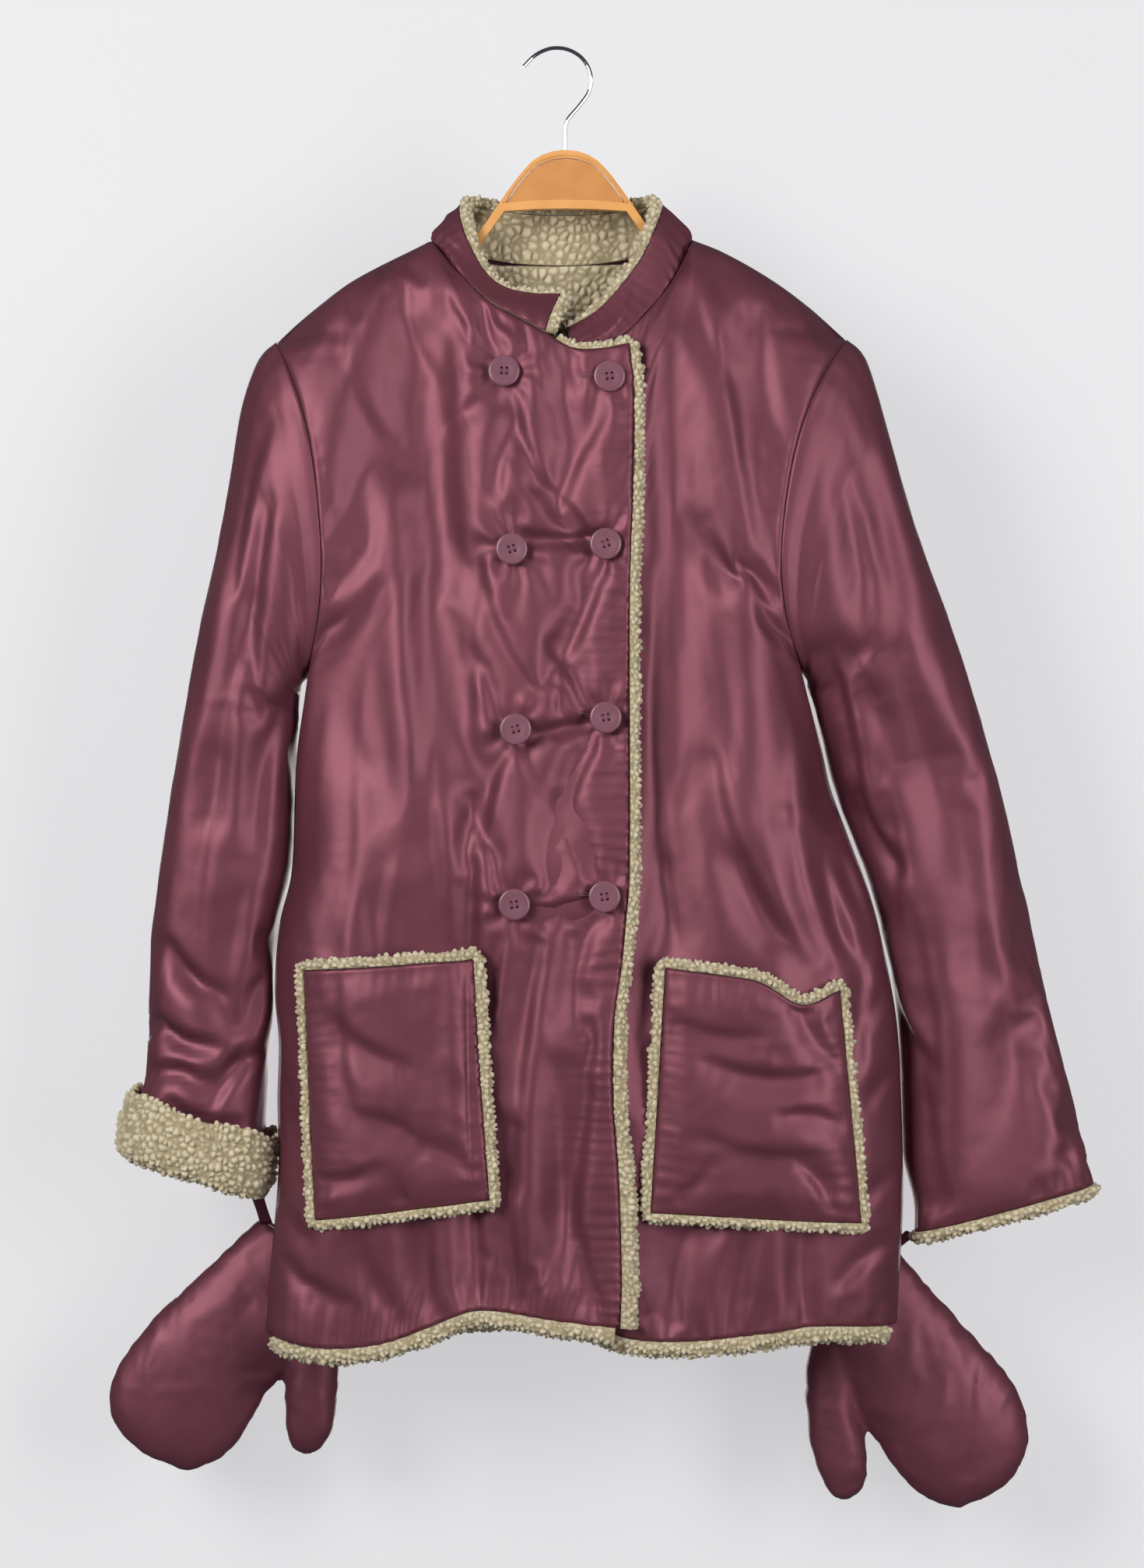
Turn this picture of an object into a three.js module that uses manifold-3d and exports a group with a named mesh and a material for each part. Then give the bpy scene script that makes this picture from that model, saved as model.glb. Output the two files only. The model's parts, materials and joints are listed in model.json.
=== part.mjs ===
// Padded coat-jacket on a hanger, with mittens hanging from its cuffs.
// Millimetres, X to the viewer's right, Z up, the front faces -Y.
// The origin is under the crown of the hook, where a rail carries it.
// Right and left are the wearer's, so right is at -X.

import * as THREE from 'three';
import { mergeVertices } from 'three/addons/utils/BufferGeometryUtils.js';
import Module from 'manifold-3d';

const wasm = await Module();
wasm.setup();

// Driving sizes

const SEAM_GAP = 0.3;
const ARMHOLE_GAP = 0.6;
const WALL = 8; // shell, wadding and pile together
const SHELL = 4.5; // collar's padded outside
const LINING = 3.5; // pile layer where it is a piece of its own
const EDGE_ROUND = { front: 95, back: 80 }; // how far in from a side seam the body rounds
const TOP_ROUND = 70; // how far below the shoulder it rounds
const NECK_RIGHT_X = -98;
const NECK_LEFT_X = 106;
const NECK_AXIS = new THREE.Vector3(4, -6, 0);
const UNDERLAP_X = -48; // hidden edge of the left front
const LAP = { lift: 11.5, from: -118, to: -60 }; // the right front rises over the left one
const SIDE_ROWS = 12;
const ARM_SIDES = 16; // points round an armhole or a sleeve
const BUTTON = { radius: 12.2, thick: 3.4, hole: 1.0, holeAt: 2.3, sides: 16 };
const BUTTON_LIFT = 0.6; // over the cloth at the middle of the button
const POCKET = { wall: 6, gape: 8.5, columns: 7, rows: 6 };
const NORMAL_STEP = 3; // how far apart the places are that give the cloth's slope

const table = (columns, rows) =>
  rows.map((row) => Object.fromEntries(columns.map((name, i) => [name, row[i]])));

// Outline of the body

const SIDE_RIGHT = table(['z', 'x'], [
  [-1004, -228], [-959, -225], [-918, -221], [-869, -218], [-824, -219], [-779, -218],
  [-735, -221], [-684, -217], [-646, -208], [-556, -204], [-492, -195],
]);
const SIDE_LEFT = table(['z', 'x'], [
  [-998, 267], [-945, 270], [-903, 272], [-837, 271], [-762, 267], [-693, 254],
  [-660, 245], [-620, 230], [-579, 215], [-548, 208], [-488, 192],
]);
const SHOULDER_RIGHT = table(['x', 'z'], [
  [-219, -230], [-203, -215], [-185, -200], [-164, -184], [-139, -170], [-98, -150],
]);
const SHOULDER_LEFT = table(['x', 'z'], [
  [106, -149], [131, -159], [168, -180], [198, -202], [227, -228],
]);
const NECK_FRONT_RIGHT = table(['x', 'z', 'depth'], [
  [-98, -150, 0], [-75, -180, 22], [-52, -203, 34], [-28, -217, 40], [-9, -228, 44],
  [12, -240, 46], [34, -241, 48], [56, -237, 48],
]);
const NECK_FRONT_LEFT = table(['x', 'z', 'depth'], [
  [106, -149, 0], [95, -176, 20], [82, -196, 30], [64, -217, 38], [48, -231, 43],
  [10, -243, 46], [-48, -245, 47],
]);
const NECK_BACK = table(['x', 'z', 'depth'], [
  [-98, -150, 0], [-70, -158, 22], [-35, -162, 32], [0, -164, 35], [40, -162, 33],
  [75, -157, 23], [106, -149, 0],
]);
const LAP_EDGE = table(['z', 'x'], [
  [-994, 49], [-952, 50], [-872, 47], [-819, 43], [-758, 44], [-715, 50], [-683, 53],
  [-647, 56], [-440, 56], [-357, 58], [-270, 59], [-237, 56],
]);
const HEM_FRONT_RIGHT = table(['x', 'z'], [
  [-228, -1004], [-205, -1009], [-170, -1012], [-129, -1006], [-100, -995], [-67, -981],
  [-45, -981], [-2, -988], [49, -994],
]);
const HEM_FRONT_LEFT = table(['x', 'z'], [
  [-48, -985], [15, -990], [58, -1004], [111, -1005], [171, -998], [200, -995], [267, -998],
]);
const HEM_BACK = table(['x', 'z'], [
  [-228, -1004], [-150, -1000], [-60, -995], [40, -993], [150, -996], [267, -998],
]);
const BODY_DEPTH = table(['z', 'front', 'back'], [
  [-1010, 50, 24], [-800, 57, 30], [-600, 60, 37], [-400, 56, 40], [-250, 48, 36], [-150, 40, 30],
]);

// Where the columns of each panel start along its top edge

const COLUMNS = {
  frontRight: [-219, -200, -172, -140, -114, -98, -90, -76, -63, -48, -28, -9, 12, 34, 56],
  frontLeft: [227, 204, 176, 148, 124, 106, 99, 88, 70, 48, 10, -48],
  back: [-219, -190, -160, -128, -98, -84, -55, -20, 25, 62, 92, 106, 134, 166, 198, 227],
};

// Largest folds: a soft trough along a line, deeper than zero going into the body

const FOLD_COLUMNS = ['x0', 'z0', 'x1', 'z1', 'wide', 'deep'];
const FOLDS_LAP = table(FOLD_COLUMNS, [
  [-66, -560, -62, -960, 14, 7],
  [-10, -420, 20, -480, 14, 4],
  [-4, -720, 8, -900, 16, 4],
]);
const FOLDS_FRONT_RIGHT = table(FOLD_COLUMNS, [
  [-150, -330, -120, -620, 22, 4],
  [-95, -300, -60, -380, 16, 4],
  [-110, -420, -100, -640, 20, -4],
]);
const FOLDS_FRONT_LEFT = table(FOLD_COLUMNS, [
  [96, -300, 104, -640, 20, -4],
  [150, -300, 160, -560, 22, 4],
  [196, -600, 222, -700, 14, 5],
  [140, -640, 190, -720, 16, 4],
]);
const FOLDS_BACK = table(FOLD_COLUMNS, [
  [-90, -380, -70, -760, 24, 4],
  [100, -360, 84, -800, 24, 4],
  [10, -520, 4, -900, 26, -3],
]);

// Sleeves: the outer and inner edge seen from the front, then the half depths and the bow to the body

const SLEEVE_COLUMNS = ['outX', 'outZ', 'inX', 'inZ', 'bow', 'front', 'back', 'midY'];
const SLEEVE_RIGHT = table(SLEEVE_COLUMNS, [
  [-219, -230, -195, -492, 24, 56, 44, 0],
  [-231, -246, -196.5, -495, 18, 55, 44, 0],
  [-243, -280, -198, -498, 13, 54, 44, 0],
  [-252, -325, -199.5, -502, 8, 53, 44, 1],
  [-262, -375, -201.5, -506, 4, 52, 44, 2],
  [-273, -430, -203.5, -512, 1, 51, 44, 3],
  [-287, -500, -207, -530, 0, 49, 43, 4],
  [-301, -575, -210, -580, 0, 46, 42, 6],
  [-312, -645, -213, -638, 0, 44, 40, 8],
  [-318, -700, -222.5, -690, 0, 42, 39, 9],
  [-322, -750, -225.5, -742, 0, 41, 38, 10],
  [-325, -800, -226, -798, 0, 40, 37, 11],
  [-331, -832, -229, -846, 0, 41, 38, 12],
  [-337, -860, -231, -893, 0, 42, 38, 12],
]);
const SLEEVE_LEFT = table(SLEEVE_COLUMNS, [
  [227, -228, 192, -488, -33, 56, 44, 0],
  [239, -244, 193.5, -491, -26, 55, 44, 0],
  [250, -277, 195, -495, -18, 54, 44, 0],
  [263, -320, 197, -499, -11, 53, 44, 1],
  [279, -372, 199.5, -504, -5, 52, 44, 2],
  [296, -423, 202.5, -511, -1, 51, 44, 3],
  [318, -488, 209, -532, 0, 49, 43, 4],
  [337, -550, 217.5, -576, 0, 47, 42, 6],
  [351, -600, 233, -620, 0, 45, 41, 8],
  [362, -650, 250, -664, 0, 43, 40, 9],
  [373, -702, 263.5, -716, 0, 41, 38, 10],
  [388, -756, 272, -774, 0, 39, 36, 10],
  [402, -808, 276, -834, 0, 37, 34, 10],
  [414, -852, 278, -886, 0, 35, 32, 10],
  [424, -889, 279, -928, 0, 34, 30, 10],
]);
const SLEEVE_ROUND = 0.82; // below one gives a fuller section than an ellipse

// Collar: where each station stands on the neckline and where its top edge is

const COLLAR = table(['panel', 'baseX', 'topX', 'topY', 'topZ'], [
  ['frontRight', -9, 3, -37, -196],
  ['frontRight', -28, -19, -34, -195],
  ['frontRight', -48, -39, -29, -190],
  ['frontRight', -63, -53, -26, -180],
  ['frontRight', -76, -63, -22, -165],
  ['frontRight', -90, -73, -15, -143],
  ['back', -98, -77, 3, -123],
  ['back', -84, -72, 17, -119],
  ['back', -55, -52, 28, -121],
  ['back', -20, -20, 34, -123],
  ['back', 25, 25, 34, -123],
  ['back', 62, 58, 28, -121],
  ['back', 92, 79, 17, -119],
  ['back', 106, 84, 3, -123],
  ['frontLeft', 99, 77, -17, -144],
  ['frontLeft', 88, 66, -22, -167],
  ['frontLeft', 70, 49, -26, -190],
  ['frontLeft', 48, 31, -33, -209],
  ['frontLeft', 10, 8, -38, -223],
]);
const NECK_EDGE_SLOPE = 0.8; // the cut edge of the neckline falls away under the collar
const COLLAR_SEAT = 0.9; // over the cut edge of the neckline
const COLLAR_ROWS = 3;
const COLLAR_BULGE = 4;

// Sections of the pile rolls: how far out of the cloth's edge, and across its thickness

const ROLL_SEAT = 0.5;
const PLACKET_GROWTH = { share: 0.6, from: 0.6, over: 0.35 }; // the lap's roll thickens to its foot
const HEM_SCALE = 1.55;
const HEM_END = 0.4; // share of a column the hem roll is drawn back at a side seam
const HEM_LAP_END = 0.15; // and at the foot of the lap
const HEM_UNDER_LAP = 2; // columns of the left front with no edging, under the lap
const CUFF_ROLL_SCALE = 1.1;
const ROLL_SECTION = table(['out', 'across'], [
  [0.5, -0.36], [3.0, -0.62], [6.6, -0.52], [8.6, 0], [6.6, 0.52], [3.0, 0.62], [0.5, 0.36],
]);
const POCKET_ROLL_SECTION = table(['out', 'across'], [
  [0.5, -0.5], [3.0, -0.85], [6.4, -0.7], [8.2, -0.1], [6.4, 0.42], [0.5, 0.48],
]);

// Turned cuff: a pile band that folds round the end of the sleeve

const TURNBACK_SECTION = table(['out', 'up'], [
  [3.6, 43], [9, 42], [11, 32], [11.5, 14], [10, 2], [5, -6], [-3, -8], [-7, -4], [-7, -0.6], [1.2, -0.6],
]);
const TURNBACK_INNER_SHARE = 0.6; // thinner where it lies against the body
const TURNBACK_SEAT = 2; // points closer than this keep their distance from the sleeve
const TURNBACK_SETTLE = 0.5; // how much of the sleeve's flare the band takes up

// Pockets: corners seen from the front, how far the mouth dips and how close the edges sit

const POCKET_COLUMNS = ['name', 'panel', 'tlX', 'tlZ', 'trX', 'trZ', 'brX', 'brZ', 'blX', 'blZ', 'dip', 'seat'];
const POCKETS = table(POCKET_COLUMNS, [
  ['right', 'frontRight', -191, -720, -60, -710, -49, -894, -183, -912, 0, 1.6],
  ['left', 'frontLeft', 84, -717, 216, -733, 233, -914, 73, -905, 16, 0.5],
]);
const POCKET_DIP = { at: 0.78, wide: 0.16, fade: 3 };
const POCKET_BELLY = { round: 0.5, rise: 2.5 }; // how soon the pocket stands off from its edges

const BUTTONS = table(['x', 'z', 'lean'], [
  [-40, -259, 0], [41, -263, 0], [-34, -396, 0], [38, -392, 14],
  [-31, -534, 0], [38, -525, 12], [-32, -668, 0], [37, -662, 10],
]);

// Mittens: both edges of each section seen from the front, and the half depth

const MITTEN_COLUMNS = ['ax', 'az', 'bx', 'bz', 'deep'];
const MITTEN_HAND_LEFT = table(MITTEN_COLUMNS, [
  [201, -982, 268, -942, 15], [206, -1012, 300, -978, 19], [215, -1040, 328, -1009, 22],
  [229, -1066, 352, -1035, 23], [243, -1086, 369, -1058, 23], [257, -1105, 377, -1083, 22],
  [272, -1125, 376, -1108, 20], [289, -1142, 363, -1131, 16], [304, -1150, 344, -1145, 10],
]);
const MITTEN_THUMB_LEFT = table(MITTEN_COLUMNS, [
  [206, -1004, 246, -1000, 13], [198, -1035, 246, -1040, 17], [197, -1068, 242, -1074, 18],
  [199, -1098, 246, -1102, 18], [205, -1123, 246, -1124, 16], [214, -1142, 241, -1141, 10],
]);
const MITTEN_HAND_RIGHT = table(MITTEN_COLUMNS, [
  [-174, -958, -237, -921, 15], [-180, -1000, -265, -947, 19], [-196, -1026, -291, -972, 22],
  [-214, -1044, -316, -995, 23], [-230, -1062, -341, -1023, 23], [-243, -1084, -356, -1052, 22],
  [-256, -1102, -356, -1081, 20], [-270, -1115, -339, -1103, 15], [-284, -1121, -318, -1116, 9],
]);
const MITTEN_THUMB_RIGHT = table(MITTEN_COLUMNS, [
  [-182, -985, -220, -985, 12], [-174, -1015, -216, -1018, 16], [-172, -1042, -215, -1044, 17],
  [-173, -1068, -217, -1068, 17], [-177, -1092, -215, -1090, 15], [-185, -1106, -209, -1106, 9],
]);
const MITTEN = { midY: 50, wall: 5, sides: 16, round: 0.85, tip: 6, tipWide: 4, tipDeep: 2, least: 1.5 };
const WRIST_CUT = 12; // how far the hollow runs out past the wrist
const STRAP = { wide: 10, thick: 2 };
const STRAPS = table(['name', 'topX', 'topY', 'topZ', 'footX', 'footY', 'footZ'], [
  ['right', -236, 16, -901, -231, 39, -925],
  ['left', 280, 22, -931, 264, 39, -947],
]);

// Hanger: half widths about its own middle, going down the arch and out along the arm

const HANGER = { midX: 7, thick: 8, panelThick: 5 };
const HANGER_TOP = table(['half', 'z'], [
  [0, -79], [10, -80.3], [18, -83], [25.5, -87.5], [31, -93], [36.5, -99.5], [46.5, -113],
  [52, -121], [60, -133], [72, -150], [88, -162], [103, -168], [125, -176], [146, -187],
  [171, -203], [190, -218], [200, -228],
]);
const HANGER_UNDER = table(['half', 'z'], [
  [192, -233], [171, -215], [146, -199], [125, -189], [103, -180], [88, -174], [74, -164],
  [61, -145], [48, -127], [24, -125.5],
]);
const PANEL_EDGE = table(['half', 'z'], [
  [11, -86.6], [21, -90.5], [28, -95.5], [35, -103.5], [41.5, -112.5], [46.5, -120.5], [24, -118.6],
]);
const PANEL_SHRINK = 0.024; // leaves a thin gap to the frame all round
const PANEL_SAG = 4;
const PANEL_TOP_Z = -85;
const PANEL_FOOT_Z = -118;
const HANGER_UNDER_MID_Z = -125;

// Hook: a bent wire, its crown over the origin

const HOOK = { radius: 1.5, sides: 8, steps: 40, stemX: 7, stemZ: -78.7 };
const HOOK_PATH = table(['x', 'z'], [
  [-26, -13.5], [-17, -4.5], [-7, 0.5], [0, 1.5], [9, 0.2], [19, -5.5], [25.5, -15],
  [27.3, -25], [25, -34], [17, -45], [9, -54.5], [7, -60], [7, -68],
]);

// Materials

const material = (color, roughness, metalness = 0) =>
  new THREE.MeshStandardMaterial({ color, roughness, metalness });
const nylon = () => material('#74465a', 0.45);
const pile = () => material('#d0c2a5', 0.95);
const moulded = () => material('#815464', 0.4);

// Small helpers

const vec = (x, y, z) => new THREE.Vector3(x, y, z);
const mix = (a, b, t) => a + (b - a) * t;
const clamp01 = (t) => Math.min(Math.max(t, 0), 1);
const smoothStep = (t) => clamp01(t) ** 2 * (3 - 2 * clamp01(t));
const quarter = (t) => Math.sqrt(1 - (1 - clamp01(t)) ** 2);

// A smooth curve through a table, from one named column to another
function curve(rows, from, to) {
  const sorted = [...rows].sort((a, b) => a[from] - b[from]);
  const last = sorted.length - 1;
  const slope = (i) => {
    const before = sorted[Math.max(i - 1, 0)];
    const after = sorted[Math.min(i + 1, last)];
    return (after[to] - before[to]) / (after[from] - before[from]);
  };
  return (value) => {
    if (value <= sorted[0][from]) return sorted[0][to];
    if (value >= sorted[last][from]) return sorted[last][to];
    let i = 0;
    while (sorted[i + 1][from] < value) i += 1;
    const span = sorted[i + 1][from] - sorted[i][from];
    const t = (value - sorted[i][from]) / span;
    const rise = sorted[i + 1][to] - sorted[i][to];
    const startSlope = slope(i) * span;
    const endSlope = slope(i + 1) * span;
    const bend = startSlope + endSlope - 2 * rise;
    const lean = 3 * rise - 2 * startSlope - endSlope;
    return sorted[i][to] + t * (startSlope + t * (lean + t * bend));
  };
}

function signedVolume(points, faces) {
  return faces.reduce((sum, [a, b, c]) => {
    const cross = points[b].clone().cross(points[c]);
    return sum + points[a].dot(cross) / 6;
  }, 0);
}

// A geometry from shared points and triangles, turned so that its faces point out
function closedGeometry(points, faces) {
  const flip = signedVolume(points, faces) < 0;
  const index = faces.flatMap(([a, b, c]) => (flip ? [a, c, b] : [a, b, c]));
  const geometry = new THREE.BufferGeometry();
  geometry.setAttribute('position', new THREE.Float32BufferAttribute(points.flatMap((p) => p.toArray()), 3));
  geometry.setIndex(index);
  return geometry;
}

// A closed wall between an outer and an inner grid; a wall that goes round joins its last column to its first
function wall(outer, inner, around = false) {
  const rows = outer.length;
  const columns = outer[0].length;
  const points = [...outer.flat(), ...inner.flat()];
  const out = (r, c) => r * columns + (c % columns);
  const inn = (r, c) => rows * columns + out(r, c);
  const faces = [];
  const quad = (a, b, c, d) => faces.push([a, b, c], [a, c, d]);
  const spans = around ? columns : columns - 1;
  for (let r = 0; r < rows - 1; r += 1) {
    for (let c = 0; c < spans; c += 1) {
      quad(out(r, c), out(r, c + 1), out(r + 1, c + 1), out(r + 1, c));
      quad(inn(r, c), inn(r + 1, c), inn(r + 1, c + 1), inn(r, c + 1));
    }
  }
  for (let c = 0; c < spans; c += 1) {
    quad(out(0, c), inn(0, c), inn(0, c + 1), out(0, c + 1));
    quad(out(rows - 1, c), out(rows - 1, c + 1), inn(rows - 1, c + 1), inn(rows - 1, c));
  }
  for (let r = 0; r < rows - 1 && !around; r += 1) {
    quad(out(r, 0), out(r + 1, 0), inn(r + 1, 0), inn(r, 0));
    quad(out(r, columns - 1), inn(r, columns - 1), inn(r + 1, columns - 1), out(r + 1, columns - 1));
  }
  return closedGeometry(points, faces);
}

// A closed solid through a row of sections, capped at its ends or joined into a loop
function loft(sections, loop = false) {
  const sides = sections[0].length;
  const points = sections.flat();
  const faces = [];
  const at = (s, k) => (s % sections.length) * sides + (k % sides);
  const spans = loop ? sections.length : sections.length - 1;
  for (let s = 0; s < spans; s += 1) {
    for (let k = 0; k < sides; k += 1) {
      faces.push([at(s, k), at(s, k + 1), at(s + 1, k + 1)], [at(s, k), at(s + 1, k + 1), at(s + 1, k)]);
    }
  }
  if (!loop) {
    for (const [section, turned] of [[0, true], [sections.length - 1, false]]) {
      const middle = points.length;
      const sum = sections[section].reduce((total, p) => total.add(p), vec(0, 0, 0));
      points.push(sum.divideScalar(sides));
      for (let k = 0; k < sides; k += 1) {
        const near = at(section, k);
        const next = at(section, k + 1);
        faces.push(turned ? [middle, next, near] : [middle, near, next]);
      }
    }
  }
  return closedGeometry(points, faces);
}

function toManifold(geometry) {
  const bare = geometry.clone();
  bare.deleteAttribute('normal');
  bare.deleteAttribute('uv');
  const merged = mergeVertices(bare, 1e-4);
  const vertProperties = new Float32Array(merged.attributes.position.array);
  const triVerts = new Uint32Array(merged.index.array);
  return new wasm.Manifold(new wasm.Mesh({ numProp: 3, vertProperties, triVerts }));
}

function fromManifold(solid) {
  const mesh = solid.getMesh();
  const geometry = new THREE.BufferGeometry();
  geometry.setAttribute('position', new THREE.Float32BufferAttribute(mesh.vertProperties, 3));
  geometry.setIndex(Array.from(mesh.triVerts));
  return geometry;
}

const jacket = new THREE.Group();

function add(name, geometry, finish) {
  const mesh = new THREE.Mesh(geometry, finish);
  mesh.name = name;
  jacket.add(mesh);
  return mesh;
}

// Body surface: how deep the cloth lies at a place seen from the front

const sideRight = curve(SIDE_RIGHT, 'z', 'x');
const sideLeft = curve(SIDE_LEFT, 'z', 'x');
const shoulderRight = curve(SHOULDER_RIGHT, 'x', 'z');
const shoulderLeft = curve(SHOULDER_LEFT, 'x', 'z');
const lapEdge = curve(LAP_EDGE, 'z', 'x');
const depthOf = {
  front: curve(BODY_DEPTH, 'z', 'front'),
  back: curve(BODY_DEPTH, 'z', 'back'),
};
const necks = {
  frontRight: { z: curve(NECK_FRONT_RIGHT, 'x', 'z'), depth: curve(NECK_FRONT_RIGHT, 'x', 'depth') },
  frontLeft: { z: curve(NECK_FRONT_LEFT, 'x', 'z'), depth: curve(NECK_FRONT_LEFT, 'x', 'depth') },
  back: { z: curve(NECK_BACK, 'x', 'z'), depth: curve(NECK_BACK, 'x', 'depth') },
};

// One ring of a sleeve: cloth thickness inset is taken off all its half sizes
function sleeveRing(row, inset = 0) {
  const out = vec(row.outX, 0, row.outZ);
  const inn = vec(row.inX, 0, row.inZ);
  const middle = out.clone().add(inn).multiplyScalar(0.5);
  const half = out.clone().sub(inn).multiplyScalar(0.5);
  const shrink = 1 - inset / half.length();
  return Array.from({ length: ARM_SIDES }, (_, k) => {
    const angle = (k * 2 * Math.PI) / ARM_SIDES;
    const along = Math.sign(Math.cos(angle)) * Math.abs(Math.cos(angle)) ** SLEEVE_ROUND * shrink;
    const across = Math.sign(Math.sin(angle)) * Math.abs(Math.sin(angle)) ** SLEEVE_ROUND;
    const deep = (across < 0 ? row.front : row.back) - inset;
    const bow = row.bow * Math.sin(angle) ** 2;
    return vec(middle.x + half.x * along + bow, row.midY + deep * across, middle.z + half.z * along);
  });
}

// The armhole runs up from the underarm to the shoulder: the front half and the back half of the first ring
function armhole(rows, face, inset = 0) {
  const ring = sleeveRing(rows[0], inset);
  const half = ARM_SIDES / 2;
  const order = Array.from({ length: half + 1 }, (_, k) => (face === 'front' ? half + k : half - k));
  return order.map((k) => ring[k % ARM_SIDES]);
}

function armholeCurves(rows) {
  const front = armhole(rows, 'front');
  const back = armhole(rows, 'back');
  return {
    x: curve(front, 'z', 'x'),
    front: curve(front.map((p) => ({ z: p.z, depth: -p.y })), 'z', 'depth'),
    back: curve(back.map((p) => ({ z: p.z, depth: p.y })), 'z', 'depth'),
  };
}

const armholes = { right: armholeCurves(SLEEVE_RIGHT), left: armholeCurves(SLEEVE_LEFT) };
const UNDERARM_Z = { right: SLEEVE_RIGHT[0].inZ, left: SLEEVE_LEFT[0].inZ };

function sideX(side, z) {
  if (z > UNDERARM_Z[side]) return armholes[side].x(z);
  return side === 'right' ? sideRight(z) : sideLeft(z);
}

const armDepth = (side, face, z) => (z > UNDERARM_Z[side] ? armholes[side][face](z) : 0);

function topZ(panel, x) {
  if (x < NECK_RIGHT_X) return shoulderRight(x);
  if (x > NECK_LEFT_X) return shoulderLeft(x);
  return necks[panel].z(x);
}

const neckDepth = (panel, x) => (x < NECK_RIGHT_X || x > NECK_LEFT_X ? 0 : necks[panel].depth(x));

function foldRelief(folds, x, z) {
  return folds.reduce((sum, fold) => {
    const runX = fold.x1 - fold.x0;
    const runZ = fold.z1 - fold.z0;
    const t = clamp01(((x - fold.x0) * runX + (z - fold.z0) * runZ) / (runX ** 2 + runZ ** 2));
    const away = Math.hypot(x - fold.x0 - t * runX, z - fold.z0 - t * runZ);
    return sum + fold.deep * Math.exp(-((away / fold.wide) ** 2));
  }, 0);
}

const PANELS = {
  frontRight: { face: 'front', folds: [...FOLDS_LAP, ...FOLDS_FRONT_RIGHT], sides: ['right'] },
  frontLeft: { face: 'front', folds: [...FOLDS_LAP, ...FOLDS_FRONT_LEFT], sides: ['left'] },
  back: { face: 'back', folds: FOLDS_BACK, sides: ['right', 'left'] },
};

// Distance of the cloth from the plane of the side seams
function bodyDepth(panel, x, z) {
  const { face, folds, sides } = PANELS[panel];
  const round = EDGE_ROUND[face];
  const below = topZ(panel, x) - z;
  const neck = neckDepth(panel, x);
  let depth = mix(neck, depthOf[face](z), quarter(below / TOP_ROUND));
  let inside = 1;
  for (const side of sides) {
    const edge = Math.max(Math.abs(x - sideX(side, z)), 0);
    inside = Math.min(inside, quarter(edge / round));
    depth = mix(armDepth(side, face, z), depth, quarter(edge / round));
  }
  const lap = panel === 'frontRight' ? LAP.lift * smoothStep((x - LAP.from) / (LAP.to - LAP.from)) : 0;
  const settle = inside * quarter(below / TOP_ROUND);
  return depth + lap - foldRelief(folds, x, z) * settle + SEAM_GAP / 2;
}

function bodyPoint(panel, x, z) {
  const depth = bodyDepth(panel, x, z);
  return vec(x, PANELS[panel].face === 'front' ? -depth : depth, z);
}

// Unit direction into the body at a place on a panel
function bodyInward(panel, x, z) {
  const acrossX = bodyPoint(panel, x + NORMAL_STEP, z).sub(bodyPoint(panel, x - NORMAL_STEP, z));
  const alongZ = bodyPoint(panel, x, z + NORMAL_STEP).sub(bodyPoint(panel, x, z - NORMAL_STEP));
  const normal = acrossX.cross(alongZ).normalize();
  const wanted = PANELS[panel].face === 'front' ? 1 : -1;
  return normal.y * wanted < 0 ? normal.negate() : normal;
}

// Heights of the rows at a side: even up to the underarm, then the armhole's own points
function sideRows(side, hemZ) {
  const rows = side === 'right' ? SLEEVE_RIGHT : SLEEVE_LEFT;
  const lower = Array.from({ length: SIDE_ROWS }, (_, r) => mix(hemZ, UNDERARM_Z[side], r / SIDE_ROWS));
  return [...lower, ...armhole(rows, 'front').map((p) => p.z)];
}

// Spreads four edges over a grid of places seen from the front
function coonsGrid(foot, head, first, last) {
  const rows = first.length - 1;
  const columns = foot.length - 1;
  const shareUp = first.map((p) => (p.z - first[0].z) / (first[rows].z - first[0].z));
  const shareIn = head.map((p) => (p.x - head[0].x) / (head[columns].x - head[0].x));
  return shareUp.map((v, r) => shareIn.map((u, c) => {
    const blend = (axis) => mix(foot[c][axis], head[c][axis], v) + mix(first[r][axis], last[r][axis], u)
      - mix(mix(foot[0][axis], foot[columns][axis], u), mix(head[0][axis], head[columns][axis], u), v);
    return { x: blend('x'), z: blend('z') };
  }));
}

const hems = {
  frontRight: curve(HEM_FRONT_RIGHT, 'x', 'z'),
  frontLeft: curve(HEM_FRONT_LEFT, 'x', 'z'),
  back: curve(HEM_BACK, 'x', 'z'),
};

// The far edge of a panel: the lap, the hidden underlap or the other side seam
function farEdge(panel, sideZ) {
  const columns = COLUMNS[panel];
  const topX = columns[columns.length - 1];
  const footX = { frontRight: LAP_EDGE[0].x, frontLeft: UNDERLAP_X, back: SIDE_LEFT[0].x }[panel];
  const footZ = hems[panel](footX);
  if (panel === 'back') {
    return sideRows('left', footZ).map((z) => ({ x: sideX('left', z), z }));
  }
  return sideZ.map((z, r) => {
    const up = (z - sideZ[0]) / (sideZ[sideZ.length - 1] - sideZ[0]);
    const edgeZ = mix(footZ, topZ(panel, topX), up);
    return { x: panel === 'frontRight' ? lapEdge(edgeZ) : UNDERLAP_X, z: edgeZ };
  });
}

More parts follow.
